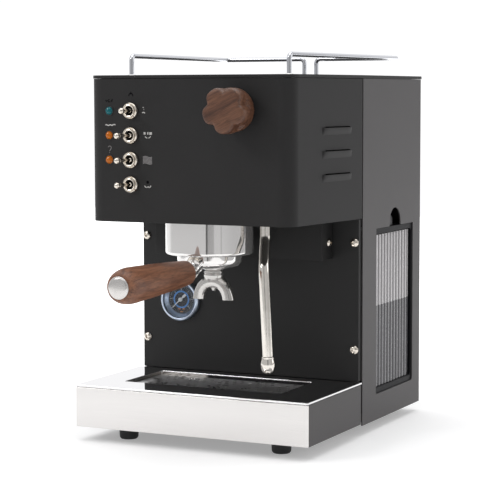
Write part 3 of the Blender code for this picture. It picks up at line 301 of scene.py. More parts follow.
MATERIALS = {
    "case_paint": powder_coat("case_paint", (0.056, 0.052, 0.053), 0.5, 0.35),
    # The head's paint is the case's colour made about three times darker: painted shade, used on the head
    # shell, its louvres and the lid.
    "shaded_head_paint": powder_coat("shaded_head_paint", (0.0185, 0.0178, 0.018), 0.55, 0.25),
    "panel_paint": powder_coat("panel_paint", (0.0165, 0.0162, 0.0163), 0.55, 0.3),
    "front_steel": brushed_steel("front_steel", (0.73, 0.712, 0.70), 0.2, (0.03, 1, 1)),
    "mirror_steel": plated("mirror_steel", (0.80, 0.795, 0.80), 0.03),
    "grille_steel": plated("grille_steel", (0.60, 0.59, 0.59), 0.32),
    "well_steel": well_material(),
    "bezel_steel": brushed_steel("bezel_steel", (0.62, 0.71, 0.84), 0.3, (1, 1, 1), 0.004 * MM),
    "chrome": plated("chrome", (0.88, 0.87, 0.86), 0.05),
    "bell_chrome": plated("bell_chrome", (0.88, 0.865, 0.85), 0.04, 0.84),
    "spout_chrome": plated("spout_chrome", (0.60, 0.585, 0.565), 0.12, 0.9),
    "rail_chrome": plated("rail_chrome", (0.60, 0.61, 0.64), 0.1),
    "wand_steel": plated("wand_steel", (0.78, 0.745, 0.69), 0.13),
    "satin_steel": brushed_steel("satin_steel", (0.66, 0.64, 0.62), 0.26, (1, 1, 1), 0.002 * MM),
    "nickel": plated("nickel", (0.76, 0.70, 0.62), 0.13),
    "handle_walnut": walnut("handle_walnut", "Y"),
    "knob_walnut": walnut("knob_walnut", "X", 0.6, 24),
    "rubber": moulded("rubber", (0.012, 0.012, 0.013), 0.62),
    "black_plastic": moulded("black_plastic", (0.014, 0.014, 0.015), 0.42),
    "grip_grey": moulded("grip_grey", (0.05, 0.05, 0.052), 0.4),
    "tank_plastic": tank_material(),
    "brass": brushed_steel("brass", (0.66, 0.46, 0.2), 0.3, (1, 1, 0.05)),
    "copper": plated("copper", (0.72, 0.38, 0.24), 0.22),
    "teal_lens": lens_material("teal_lens", (0.0, 0.105, 0.125), 0.12),
    "amber_lens": lens_material("amber_lens", (0.46, 0.115, 0.0), 0.06),
    "dial_black": moulded("dial_black", (0.022, 0.023, 0.025), 0.5),
    "dial_blue": moulded("dial_blue", (0.085, 0.26, 0.58), 0.45),
    "ink_white": moulded("ink_white", (0.50, 0.49, 0.47), 0.6, 700),
    "ink_grey": moulded("ink_grey", (0.20, 0.19, 0.19), 0.6, 700),
    "ink_black": moulded("ink_black", (0.003, 0.003, 0.004), 0.8, 700, Specular_IOR_Level=0.03),
    "liner_black": moulded("liner_black", (0.0035, 0.0035, 0.005), 0.5, Specular_IOR_Level=0.12),
    "needle_white": moulded("needle_white", (0.80, 0.80, 0.77), 0.4),
    "ink_orange": moulded("ink_orange", (0.55, 0.22, 0.06), 0.5),
    "gauge_glass": glass_material(),
    "water": Paint("water", (0.75, 0.82, 0.85), 0.04, IOR=1.33, Transmission_Weight=0.9).material,
    "shadow_gap": moulded("shadow_gap", (0.002, 0.002, 0.002), 0.8),
}


# ---------------------------------------------------------------- mesh helpers


def finish_piece(piece, material, body, replaced=(), flat=False):
    """Gives a finished piece its material and body, and hides the CAD nodes it stands for. A flat piece
    keeps its broad faces evenly lit up to their rounded edges."""
    if flat:
        piece.modifiers.new("Even", "WEIGHTED_NORMAL").keep_sharp = True
    piece.data.materials.clear()
    piece.data.materials.append(MATERIALS[material])
    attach(piece, body)
    if replaced:
        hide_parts(*replaced)
    return piece


def link(name, data):
    made = bpy.data.objects.new(name, data)
    bpy.context.scene.collection.objects.link(made)
    return made


def settled(piece, angle=32):
    """The piece with its modifiers applied, its doubles merged and its edges sharp over an angle."""
    bpy.context.view_layer.update()
    name, matrix = piece.name, piece.matrix_world.copy()
    graph = bpy.context.evaluated_depsgraph_get()
    mesh = bpy.data.meshes.new_from_object(piece.evaluated_get(graph))
    bpy.data.objects.remove(piece)
    bm = bmesh.new()
    bm.from_mesh(mesh)
    bmesh.ops.remove_doubles(bm, verts=bm.verts, dist=1e-6)
    bmesh.ops.recalc_face_normals(bm, faces=bm.faces)
    bm.to_mesh(mesh)
    bm.free()
    mesh.transform(matrix)
    mesh.shade_smooth()
    mesh.set_sharp_from_angle(angle=math.radians(angle))
    made = link(name, mesh)
    made.name = name
    return made


def lathe(name, profile, origin, axis="Z", steps=72):
    """A solid of revolution about axis through origin, from (radius, height) points."""
    mesh = bpy.data.meshes.new(name)
    edges = [(i, i + 1) for i in range(len(profile) - 1)]
    if profile[0][0] > 0:
        edges.append((len(profile) - 1, 0))
    mesh.from_pydata([(r, 0, h) for r, h in profile], edges, [])
    piece = link(name, mesh)
    screw = piece.modifiers.new("Turn", "SCREW")
    screw.steps = screw.render_steps = steps
    screw.use_merge_vertices = True
    screw.merge_threshold = 1e-6
    piece.matrix_world = Matrix.Translation(origin) @ TO_AXIS[axis].to_4x4()
    return settled(piece)


def sheet(name, outlines, bottom, top, axis="Z", edge=0.25 * MM):
    """A flat plate from bottom to top along axis, its rim and holes rounded by edge."""
    curve = bpy.data.curves.new(name, "CURVE")
    curve.dimensions = "2D"
    curve.fill_mode = "BOTH"
    curve.bevel_depth = edge
    curve.bevel_resolution = 2
    curve.offset = -edge
    curve.extrude = (top - bottom) / 2 - edge
    for outline in outlines:
        spline = curve.splines.new("POLY")
        spline.points.add(len(outline) - 1)
        for point, (u, v) in zip(spline.points, outline):
            point.co = (u, v, 0, 1)
        spline.use_cyclic_u = True
    piece = link(name, curve)
    middle = (bottom + top) / 2
    offset = {"X": (middle, 0, 0), "Y": (0, middle, 0), "Z": (0, 0, middle)}[axis]
    piece.matrix_world = Matrix.Translation(offset) @ TO_AXIS[axis].to_4x4()
    return settled(piece)


def rod(name, path, radius, resolution=8, radii=None):
    """A round rod with capped ends along a line of points."""
    curve = bpy.data.curves.new(name, "CURVE")
    curve.dimensions = "3D"
    curve.bevel_depth = radius
    curve.bevel_resolution = resolution
    curve.use_fill_caps = True
    spline = curve.splines.new("POLY")
    spline.points.add(len(path) - 1)
    for number, (point, at) in enumerate(zip(spline.points, path)):
        point.co = (*at, 1)
        point.radius = radii[number] if radii else 1
    return settled(link(name, curve), 50)


def skin(name, rings, angle=40):
    """A closed surface through rings of points that all have the same count."""
    count = len(rings[0])
    verts = [point for ring in rings for point in ring]
    faces = []
    for row in range(len(rings) - 1):
        for step in range(count):
            after = (step + 1) % count
            first, second = row * count, (row + 1) * count
            faces.append((first + step, first + after, second + after, second + step))
    faces.append(tuple(range(count))[::-1])
    faces.append(tuple(range((len(rings) - 1) * count, len(rings) * count)))
    mesh = bpy.data.meshes.new(name)
    mesh.from_pydata(verts, [], faces)
    return settled(link(name, mesh), angle)


def cut(piece, *cutters):
    """Removes the cutters' volume from a piece. The cutters are used up."""
    for cutter in cutters:
        modifier = piece.modifiers.new("Cut", "BOOLEAN")
        modifier.operation = "DIFFERENCE"
        modifier.solver = "EXACT"
        modifier.object = cutter
    made = settled(piece)
    for cutter in cutters:
        bpy.data.objects.remove(cutter)
    return made


def about(hinge, degrees, axis):
    """A turn about a line through hinge."""
    turn = Matrix.Rotation(math.radians(degrees), 4, axis)
    return Matrix.Translation(hinge) @ turn @ Matrix.Translation(-hinge)


def joined(name, pieces):
    """Several meshes as one piece."""
    bm = bmesh.new()
    for piece in pieces:
        bm.from_mesh(piece.data)
    mesh = bpy.data.meshes.new(name)
    bm.to_mesh(mesh)
    bm.free()
    for piece in pieces:
        bpy.data.objects.remove(piece)
    mesh.shade_smooth()
    mesh.set_sharp_from_angle(angle=math.radians(38))
    made = link(name, mesh)
    made.name = name
    return made


def smoothing_group():
    """Geometry nodes that smooth a mesh except at edges sharper than 35 degrees."""
    group = bpy.data.node_groups.new("smooth_by_angle", "GeometryNodeTree")
    group.interface.new_socket("Geometry", in_out="INPUT", socket_type="NodeSocketGeometry")
    group.interface.new_socket("Geometry", in_out="OUTPUT", socket_type="NodeSocketGeometry")
    start, end = group.nodes.new("NodeGroupInput"), group.nodes.new("NodeGroupOutput")
    faces = group.nodes.new("GeometryNodeSetShadeSmooth")
    edges = group.nodes.new("GeometryNodeSetShadeSmooth")
    edges.domain = "EDGE"
    edges.inputs["Shade Smooth"].default_value = False
    angle = group.nodes.new("GeometryNodeInputMeshEdgeAngle")
    sharp = group.nodes.new("FunctionNodeCompare")
    sharp.inputs[1].default_value = math.radians(35)
    links = group.links
    links.new(start.outputs[0], faces.inputs["Geometry"])
    links.new(faces.outputs[0], edges.inputs["Geometry"])
    links.new(angle.outputs["Unsigned Angle"], sharp.inputs[0])
    links.new(sharp.outputs[0], edges.inputs["Selection"])
    links.new(edges.outputs[0], end.inputs[0])
    return group


SMOOTH = smoothing_group()


def dress(node, material, edge=0.25 * MM):
    """Keeps a CAD node's shape, with its edges rounded and a better material."""
    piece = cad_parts[node]
    piece.data.materials.clear()
    piece.data.materials.append(MATERIALS[material])
    weld = piece.modifiers.new("Weld", "WELD")
    weld.merge_threshold = 1e-6
    if edge:
        bevel = piece.modifiers.new("Edges", "BEVEL")
        bevel.width = edge
        bevel.segments = 2
        bevel.limit_method = "ANGLE"
        bevel.angle_limit = math.radians(50)
        bevel.use_clamp_overlap = True
    piece.modifiers.new("Smooth", "NODES").node_group = SMOOTH
    piece.modifiers.new("Even", "WEIGHTED_NORMAL").keep_sharp = True
    return piece


# ---------------------------------------------------------------- outlines


def arc(u, v, radius, start, end, steps):
    angles = [math.radians(start + (end - start) * step / steps) for step in range(steps + 1)]
    return [(u + radius * math.cos(a), v + radius * math.sin(a)) for a in angles]


def circle(u, v, radius, steps=32):
    return arc(u, v, radius, 0, 360, steps)[:-1]


def rectangle(u, v, half_u, half_v):
    corners = ((-1, -1), (1, -1), (1, 1), (-1, 1))
    return [(u + side * half_u, v + end * half_v) for side, end in corners]


def around(u0, u1, v0, v1):
    """A rectangle between two limits each way."""
    return [(u0, v0), (u1, v0), (u1, v1), (u0, v1)]


def fillet(before, corner, after, radius, steps=8):
    """The points of an arc of this radius that rounds a corner, in two or three dimensions."""
    before, corner, after = Vector(before), Vector(corner), Vector(after)
    inward, outward = (before - corner).normalized(), (after - corner).normalized()
    half = inward.angle(outward) / 2
    middle = corner + (inward + outward).normalized() * radius / math.sin(half)
    reach = radius / math.tan(half)
    first, last = corner + inward * reach - middle, corner + outward * reach - middle
    sweep = first.angle(last)
    points = []
    for step in range(steps + 1):
        share = step / steps
        weights = math.sin((1 - share) * sweep), math.sin(share * sweep)
        points.append(tuple(middle + (first * weights[0] + last * weights[1]) / math.sin(sweep)))
    return points


def rounded(corners, radii, steps=8):
    """A closed outline with its corners rounded, by one radius or one for each corner."""
    if not isinstance(radii, (list, tuple)):
        radii = [radii] * len(corners)
    points = []
    for index, (corner, radius) in enumerate(zip(corners, radii)):
        after = corners[(index + 1) % len(corners)]
        points += fillet(corners[index - 1], corner, after, radius, steps) if radius else [corner]
    return points


def bent(points, radius, steps=8):
    """An open path with its inner corners rounded."""
    path = [tuple(points[0])]
    for before, corner, after in zip(points, points[1:], points[2:]):
        path += fillet(before, corner, after, radius, steps)
    return [*path, tuple(points[-1])]


def scaled(points):
    """Points in millimetres as points in metres."""
    return [(u * MM, v * MM) for u, v in points]


def slot_outline(u, v, half_u, half_v, steps=8):
    """A long slot with round ends, along its longer side."""
    if half_u > half_v:
        reach = half_u - half_v
        return arc(u + reach, v, half_v, -90, 90, steps) + arc(u - reach, v, half_v, 90, 270, steps)
    reach = half_v - half_u
    return arc(u, v + reach, half_u, 0, 180, steps) + arc(u, v - reach, half_u, 180, 360, steps)


# ---------------------------------------------------------------- casing

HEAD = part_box("head_shell")
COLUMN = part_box("outer_case")
PANEL_FRONT = low("back_panel").y
CASE_FRONT = COLUMN[0].y
TAPER = (COLUMN[1].x - HEAD_FRONT_WIDTH / 2) / (COLUMN[0].y - HEAD[0].y)


def side_x(y, inset=0.0):
    """How far the head's tapered side is from the middle, at depth y."""
    return HEAD_FRONT_WIDTH / 2 + (y - HEAD[0].y) * TAPER - inset * math.hypot(1, TAPER)


def head_line(inset):
    front, rear = HEAD[0].y + inset, CASE_FRONT - 1.8 * MM
    right = [(side_x(front, inset), front), (side_x(rear, inset), rear)]
    left = [(-x, y) for x, y in reversed(right)]
    return bent([*left, *right], HEAD_CORNER - inset, 14)


def make_head():
    """The head's folded front and sides, with its openings and three slots pressed on each side."""
    shell = sheet("head_casing", [head_line(0) + head_line(SHEET)[::-1]], HEAD[0].z, HEAD[1].z)
    openings = [(f"switch_bushing_{number}", 6.2) for number in range(1, 5)]
    openings += [(lamp, 3.3) for lamp in LAMPS]
    openings.append(("valve_spindle", 7.6))
    holes = [circle(centre(node).x, centre(node).z, radius * MM) for node, radius in openings]
    cutters = [sheet("holes", holes, HEAD[0].y - 4 * MM, HEAD[0].y + 4 * MM, "Y", 0.01 * MM)]
    for side in (-1, 1):
        middle = side * side_x(LOUVRE_Y)
        half = LOUVRE_HALF - 3.6 * MM
        slots = [slot_outline(LOUVRE_Y + 1.4 * MM, z + 3 * MM, half, 1 * MM) for z in LOUVRES]
        cutters.append(sheet("slots", slots, middle - 9 * MM, middle + 9 * MM, "X", 0.01 * MM))
    shell = cut(shell, *cutters)
    finish_piece(shell, "shaded_head_paint", "machine", ["head_shell"], flat=True)
    for side, name in ((-1, "left"), (1, "right")):
        for number, z in enumerate(LOUVRES, start=1):
            hood = louvre(f"louvre_{name}_{number}", side, z)
            finish_piece(hood, "shaded_head_paint", "machine")


LAMPS = ("power_lamp", "heating_lamp", "steam_lamp")
LOUVRE_Y = PANEL_FRONT - 44.2 * MM
LOUVRE_HALF = 27.4 * MM
LOUVRES = [(301.8 - 22.1 * row) * MM for row in range(3)]


def louvre(name, side, z):
    """A pressed hood, open along its top, that swells out of the head's side and dies into it."""
    columns, rows = 40, 12
    top, height, depth = z + 3 * MM, 6.8 * MM, 2.3 * MM
    inside = 0.5 * MM
    outer, inner = [], []
    for row in range(rows + 1):
        down = row / rows
        for column in range(columns + 1):
            across = 2 * column / columns - 1
            end = max(0.0, 1 - abs(across) ** 7)
            swell = depth * math.cos(math.pi / 2 * down) ** 1.3 * end ** 0.5
            y = LOUVRE_Y + across * LOUVRE_HALF
            level = top - height * down
            for points, offset in ((outer, swell), (inner, swell - inside)):
                x = side * (side_x(y) + offset + 0.06 * MM)
                points.append((x, y - offset * TAPER, level))
    width = columns + 1
    faces = []
    shift = len(outer)
    for row in range(rows):
        for column in range(columns):
            first = row * width + column
            quad = (first, first + 1, first + width + 1, first + width)
            faces.append(quad)
            faces.append(tuple(shift + i for i in reversed(quad)))
    rim = [*range(width), *[r * width + columns for r in range(1, rows + 1)]]
    rim += [*range(rows * width + columns - 1, rows * width - 1, -1)]
    rim += [row * width for row in range(rows - 1, 0, -1)]
    for first, second in zip(rim, [*rim[1:], rim[0]]):
        faces.append((second, first, first + shift, second + shift))
    mesh = bpy.data.meshes.new(name)
    mesh.from_pydata(outer + inner, [], faces)
    return settled(link(name, mesh), 60)


def lid_outline(grow, corner):
    half = COLUMN[1].x + grow
    front = HEAD[0].y - grow
    at_front = side_x(front, -grow)
    back = COLUMN[1].y + grow
    corners = [
        (at_front, front),
        (half, CASE_FRONT),
        (half, back),
        (-half, back),
        (-half, CASE_FRONT),
        (-at_front, front),
    ]
    return rounded(corners, [corner, 0, 4 * MM, 4 * MM, 0, corner], 10)


def make_lid():
    """The cup-warming lid with its turned-down rim, its slots and a grommet round each rail post."""
    bottom, top = low("cup_lid").z, high("cup_lid").z
    posts = rail_posts()
    slots = [slot_outline(x * MM, y * MM, 3 * MM, 24 * MM) for y in (70, 140) for x in range(-64, 65, 32)]
    holes = [circle(x, y, 2.8 * MM) for x, y in posts]
    outer = lid_outline(LID_OVERHANG, HEAD_CORNER + LID_OVERHANG)
    inner = lid_outline(-1.4 * MM, HEAD_CORNER - 1.4 * MM)
    plate = sheet("lid_plate", [outer, *holes], top - 1.5 * MM, top, edge=0.6 * MM)
    plate = cut(plate, sheet("slots", slots, top - 4 * MM, top + 4 * MM, edge=0.01 * MM))
    rim = sheet("lid_rim", [outer, inner], bottom, top - 0.9 * MM)
    lid = joined("lid", [plate, rim])
    finish_piece(lid, "shaded_head_paint", "machine", ["cup_lid"], flat=True)
    for number, (x, y) in enumerate(posts, start=1):
        profile = [(2.5, 0), (4.3, 0), (4.3, 0.5), (3.9, 0.9), (2.8, 1), (2.5, 0.7)]
        collar = lathe(f"rail_grommet_{number}", scaled(profile), (x, y, top + 0.02 * MM))
        finish_piece(collar, "chrome", "machine")


def rail_posts():
    """Where the rails' four posts stand."""
    left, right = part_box("cup_rail_left"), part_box("cup_rail_right")
    wire = RAIL_RADIUS
    front_x, back_y = 84.2 * MM, right[1].y - wire
    return [
        (-front_x, right[0].y + wire),
        (front_x, right[0].y + wire),
        (left[1].x - wire, back_y),
        (right[0].x + wire, back_y),
    ]


RAIL_RADIUS = 2.4 * MM


def make_rails():
    """Two chrome rods, each bent down at its front and its middle, with a tight knuckle at each post."""
    posts = rail_posts()
    rail_z = high("cup_rail_right").z - RAIL_RADIUS
    foot = low("cup_rail_right").z
    for name, side, front, middle in (("left", -1, posts[0], posts[2]), ("right", 1, posts[1], posts[3])):
        corner_x = side * (high("cup_rail_right").x - RAIL_RADIUS)
        corners = [
            (*front, foot),
            (*front, rail_z),
            (corner_x, middle[1], rail_z),
            (*middle, rail_z),
            (*middle, foot),
        ]
        rail = rod(f"rail_{name}", bent(corners, 4.6 * MM, 10), RAIL_RADIUS)
        finish_piece(rail, "rail_chrome", "machine", [f"cup_rail_{name}"])


def make_case():
    """The column keeps its folded CAD sheet. The panel, its cover box and the hidden sheets are painted."""
    dress("outer_case", "case_paint", 0.3 * MM)
    dress("back_panel", "panel_paint", 0.3 * MM)
    dress("boiler_cover", "panel_paint", 0.5 * MM)
    dress("head_floor", "panel_paint")
    dress("chassis", "case_paint", 0.3 * MM)
    dress("tank_shelf", "black_plastic")
    dress("drip_tray", "black_plastic", 0.4 * MM)


def hex_recess(name, radius, depth, origin, axis):
    """A six-sided cutter that sinks by depth into a screw's head."""
    rings = [[(u, v, h) for u, v in circle(0, 0, radius, 6)] for h in (-depth, 4 * MM)]
    recess = skin(name, rings)
    recess.data.transform(Matrix.Translation(origin) @ TO_AXIS[axis].to_4x4())
    return recess


def button_screw(name, radius, height, origin, axis):
    """A button-head screw with a hexagon socket and a washer face."""
    shank = radius * 0.45
    profile = [(0, -4 * MM), (shank, -4 * MM), (shank, 0), (radius * 0.94, 0), (radius, height * 0.1)]
    for turn in range(15, 90, 12):
        profile.append((radius * math.cos(math.radians(turn)), height * math.sin(math.radians(turn))))
    profile.append((0, height))
    head = lathe(name, profile, origin, axis, 48)
    offset = TO_AXIS[axis] @ Vector((0, 0, height))
    recess = hex_recess("recess", radius * 0.42, height * 0.62, Vector(origin) + offset, axis)
    return cut(head, recess)


def make_screws():
    """The panel's four screws and the one in the cover box's side."""
    for row in ("upper", "lower"):
        for side in ("left", "right"):
            node = f"panel_screw_{row}_{side}"
            at = (centre(node).x, PANEL_FRONT - 0.1 * MM, centre(node).z)
            screw = button_screw(f"screw_{row}_{side}", 4.5 * MM, 2.6 * MM, at, "Y")
            finish_piece(screw, "nickel", "machine", [node])
    at = centre("cover_screw")
    surface = high("boiler_cover").x + 0.1 * MM
    screw = button_screw("screw_cover", 4.2 * MM, 2.5 * MM, (surface, at.y, at.z), "X")
    finish_piece(screw, "nickel", "machine", ["cover_screw"])


# ---------------------------------------------------------------- base

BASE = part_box("base_top")
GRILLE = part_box("drip_grille")


def grille_frame(grow, corner):
    """The grille's outline, grown by so many millimetres and with this corner radius."""
    middle, half = centre("drip_grille"), (GRILLE[1] - GRILLE[0]) / 2
    return rounded(rectangle(middle.x, middle.y, half.x + grow * MM, half.y + grow * MM), corner * MM, 6)


def make_base_top():
    """The mirror-polished tray top with a rolled rim and a sunk well round the grille."""
    half, front, rear, top = BASE[1].x, BASE[0].y, BASE[1].y, BASE[1].z
    well, wall, ledge = grille_frame(0.6, 2.2), grille_frame(1.6, 3.2), grille_frame(-3.4, 2)
    corners = [(-half, front), (half, front), (half, rear), (-half, rear)]
    rim = rounded(corners, [1.6 * MM, 1.6 * MM, 0, 0], 8)
    plate = sheet("tray_plate", [rim, well], top - 2 * MM, top, edge=0.5 * MM)
    sides = sheet("tray_well", [wall, well], BASE[0].z, top - 0.8 * MM)
    shelf = sheet("tray_ledge", [well, ledge], BASE[0].z, BASE[0].z + 1.2 * MM)
    finish_piece(plate, "mirror_steel", "machine", ["base_top"], flat=True)
    finish_piece(joined("tray_sump", [sides, shelf]), "well_steel", "machine", flat=True)


def make_grille():
    """The lift-out grille: long diamonds in staggered rows, gathered into flowers."""
    middle, top = centre("drip_grille"), GRILLE[1].z
    plate = sheet("grille_plate", [grille_frame(0, 2)], top - 0.6 * MM, top, edge=0.2 * MM)
    pitch_x, pitch_y = 4.15 * MM, 9.2 * MM
    columns, rows, flower = 38, 8, 8
    holes = []
    for column in range(columns):
        for row in range(rows):
            from_flower = abs(column % flower - (flower - 1) / 2)
            if (column + row) % 2 or from_flower > (3 if row % 4 in (1, 2) else 2):
                continue
            x = middle.x + (column - (columns - 1) / 2) * pitch_x
            y = middle.y + (row - (rows - 1) / 2) * pitch_y
            half_x, half_y = 1.9 * MM, 4.1 * MM
            holes.append([(x - half_x, y), (x, y - half_y), (x + half_x, y), (x, y + half_y)])
    plate = cut(plate, sheet("holes", holes, top - 4 * MM, top + 3 * MM, edge=0.01 * MM))
    plate.data.shade_flat()
    finish_piece(plate, "grille_steel", "grille", ["drip_grille"])


def make_drawer():
    """The bright steel drawer front, with its two front corners rounded."""
    box_low, box_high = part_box("drawer_front")
    left, right, near, far = box_low.x, box_high.x, box_low.y, box_high.y
    corners = [(left, far), (left, near), (right, near), (right, far)]
    outline = rounded(corners, [0, 1.5 * MM, 1.5 * MM, 0], 8)
    front = sheet("drawer_face", [outline], box_low.z, box_high.z, edge=0.5 * MM)
    finish_piece(front, "front_steel", "drip_drawer", ["drawer_front"], flat=True)


def make_feet():
    """Black rubber feet: a tapered tread, a waist groove and a band over it, all one rubber piece."""
    for node in [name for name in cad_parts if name.startswith("foot_")]:
        at, top = centre(node), high(node).z / MM
        profile = [(0, 0), (7.7, 0), (8.1, 0.3), (9.1, 1.6), (9.3, 3), (9.5, 8.6), (9.1, 9.1), (9.1, 9.9)]
        profile += [(9.6, 10.4), (9.75, top - 0.5), (9.4, top), (0, top)]
        foot = lathe(f"rubber_{node}", scaled(profile), (at.x, at.y, 0), steps=56)
        finish_piece(foot, "rubber", "machine", [node])


# ---------------------------------------------------------------- group, portafilter and boiler

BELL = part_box("group_bell")
GROUP = Vector((centre("group_bell").x, centre("group_bell").y, BELL[0].z))
SPOUT = Vector((GROUP.x, centre("spout").y, GROUP.z))


def quarter(radius, edge, height, start, end, steps=8):
    """Points of a rounded rim in millimetres, whose arc is centred edge inside radius."""
    return arc(radius - edge, height, edge, start, end, steps)


def make_group():
    """The mirror-bright bell with its rolled lower rim, and the parts inside it."""
    top = (BELL[1].z - BELL[0].z) / MM
    profile = [(42.5, top), (42.5, 3.4)]
    profile += quarter(42.5, 3, 3, 0, -90, 10)
    profile += [(37.2, 0), (36.8, 0.3), (36.8, 1.2), (37.2, 1.5)]
    profile += quarter(41, 1.5, 3, -90, 0, 6)
    profile += [(41, top)]
    bell = lathe("bell", scaled(profile), GROUP, steps=128)
    finish_piece(bell, "bell_chrome", "machine", ["group_bell"])
    dress("group_ring", "nickel")
    dress("group_gasket", "rubber", 0)
    dress("shower_screen", "front_steel")
    dress("boiler", "brass")
    dress("heating_element", "front_steel")


def make_portafilter():
    """The chromed bowl with its ears, its collar rings and the neck that carries the handle."""
    bottom = -12.4
    bowl = [(0, -7.8), (29.3, -7.8), (29.3, 12), (31.2, 12), (31.5, 11.7), (31.5, bottom + 8)]
    bowl += quarter(31.5, 8, bottom + 8, 0, -90, 14)
    bowl += [(0, bottom)]
    body = lathe("bowl", scaled(bowl), GROUP, steps=96)
    boss = [(0, 1), (13.4, 1), (13.8, 0.3), (13.6, -0.4), (12.9, -1), (13.6, -1.7), (13.2, -2.4)]
    boss += [(11.4, -2.8), (10.6, -3.4), (9.2, -4.4), (0, -4.4)]
    at = SPOUT + Vector((0, 0, bottom * MM))
    body = joined("bowl", [body, lathe("boss", scaled(boss), at, steps=72)])
    pieces = [body]
    for side in (-1, 1):
        outline = rounded(rectangle(GROUP.x + side * 33 * MM, GROUP.y, 2.4 * MM, 6.5 * MM), 1.2 * MM, 4)
        pieces.append(sheet("ear", [outline], GROUP.z + 6.9 * MM, GROUP.z + 11.4 * MM, edge=0.4 * MM))
    neck_z = GROUP.z - 7.3 * MM
    start = high("portafilter_handle").y + 0.3 * MM
    path = [
        (GROUP.x, GROUP.y - 29.5 * MM, neck_z),
        (GROUP.x, GROUP.y - 31.4 * MM, neck_z - 0.5 * MM),
        (GROUP.x, GROUP.y - 33.6 * MM, neck_z - 2.7 * MM),
        (GROUP.x, GROUP.y - 36 * MM, neck_z - 5.2 * MM),
        (GROUP.x, GROUP.y - 38.4 * MM, HANDLE_Z + 0.1 * MM),
        (GROUP.x, start + 0.6 * MM, HANDLE_Z),
    ]
    pieces.append(rod("neck", path, 7.4 * MM, 14, [1.18, 1.1, 1.0, 0.96, 0.96, 1.0]))
    ring = [(0, -3.6), (7.2, -3.6), (8.3, -3.1), (8.6, -2.4), (8.3, -1.7), (7.7, -1.4), (8.1, -0.9)]
    ring += [(8.1, -0.2), (7.8, 0), (0, 0)]
    pieces.append(lathe("ferrule", scaled(ring), (GROUP.x, start, HANDLE_Z), "Y", 64))
    finish_piece(joined("portafilter_body", pieces), "bell_chrome", "portafilter", ["portafilter"])
    dress("filter_basket", "front_steel")


def make_spout():
    """The twin spout: a turned collar, two flat-sided arms that pour side by side, and a middle tongue."""
    collar = [(0, 0), (9.2, 0), (9.8, -0.6), (9.9, -1.6), (9.3, -2.2), (9.3, -3), (9.9, -3.5), (10, -5)]
    collar += [(8.8, -8.6), (7, -10), (0, -10)]
    pieces = [lathe("collar", scaled(collar), SPOUT + Vector((0, 0, -17.2 * MM)), steps=64)]
    end_x, end_z = 16.2, GROUP.z / MM - 45
    centreline = [(0, 17), (4.4, 16.6), (8.6, 14.8), (11.8, 11.8), (14, 8), (15.4, 4), (end_x, 0)]
    halves = [(6.2, 5.6), (6.2, 5.7), (6.0, 5.8), (5.9, 5.9), (5.7, 5.9), (5.7, 6.0), (6.0, 6.1)]
    steps = 28
    last = len(centreline) - 1
    for side in (-1, 1):
        rings = []
        for number, ((u, w), (thick, deep)) in enumerate(zip(centreline, halves)):
            before, after = centreline[max(0, number - 1)], centreline[min(last, number + 1)]
            along = Vector((after[0] - before[0], after[1] - before[1])).normalized()
            outward = Vector((-along.y, along.x)) if number < last else Vector((1, 0))
            ring = []
            for step in range(steps):
                angle = 2 * math.pi * step / steps
                reach = [math.copysign(abs(f) ** 0.8, f) for f in (math.cos(angle), math.sin(angle))]
                plan = Vector((u, w)) + outward * reach[0] * thick
                depth = SPOUT.y + reach[1] * deep * MM
                ring.append((SPOUT.x + side * plan.x * MM, depth, (end_z + plan.y) * MM))
            rings.append(ring)
        arm = skin("arm", rings, angle=60)
        bore = [(0, -9), (4.2, -9), (4.2, 5), (3, 7), (0, 7)]
        bore = lathe("bore", scaled(bore), (SPOUT.x + side * end_x * MM, SPOUT.y, end_z * MM), steps=40)
        pieces.append(cut(arm, bore))
    tongue = [(0, -1.5), (2, -1), (2.8, 0.6), (3.4, 3), (4.4, 7), (0, 9)]
    tongue_at = (SPOUT.x, SPOUT.y, (end_z + 9.4) * MM)
    pieces.append(lathe("tongue", scaled(tongue), tongue_at, steps=40))
    finish_piece(joined("twin_spout", pieces), "spout_chrome", "portafilter", ["spout"])


def make_handle():
    """The turned walnut grip with its eased ends, and the domed steel cap let into its end. Both droop a
    little to the front."""
    start = high("portafilter_handle").y
    cap_depth = 2.6
    length = (start - low("handle_cap").y) / MM - cap_depth - 0.2
    thick, neck, end, thickest = 16.5, 11.9, 10.3, 0.84
    grip = [(0, 0), (neck - 1.6, 0), (neck - 0.7, 0.3), (neck - 0.2, 0.9), (neck, 1.8)]
    for step in range(1, 17):
        share = step / 16
        grip.append((neck + (thick - neck) * (1.3 * share - 0.3 * share**2), share * thickest * length))
    for step in range(1, 15):
        angle = math.pi / 2 * step / 15
        depth = thickest + (1 - thickest) * math.sin(angle)
        grip.append((end + (thick - end) * math.cos(angle), depth * length))
    grip += [(end + 0.2, length - 0.1), (end - 0.4, length), (0, length)]
    hinge = Vector((GROUP.x, start, HANDLE_Z))
    droop = about(hinge, HANDLE_DROOP, "X")
    wood = lathe("grip", scaled(grip), hinge, "Y", 96)
    wood.data.transform(droop)
    finish_piece(wood, "handle_walnut", "portafilter", ["portafilter_handle"])
    dome = [(0, 0), (10.1, 0), (10.2, 0.5), (9.9, 0.9)]
    for turn in range(0, 90, 10):
        dome.append((9.3 * math.cos(math.radians(turn)), 1.1 + 1.5 * math.sin(math.radians(turn))))
    cap_at = (GROUP.x, start - (length + 0.2) * MM, HANDLE_Z)
    cap = lathe("cap", scaled(dome + [(0, 2.6)]), cap_at, "Y", 72)
    cap.data.transform(droop)
    finish_piece(cap, "satin_steel", "portafilter", ["handle_cap"])


# ---------------------------------------------------------------- steam side


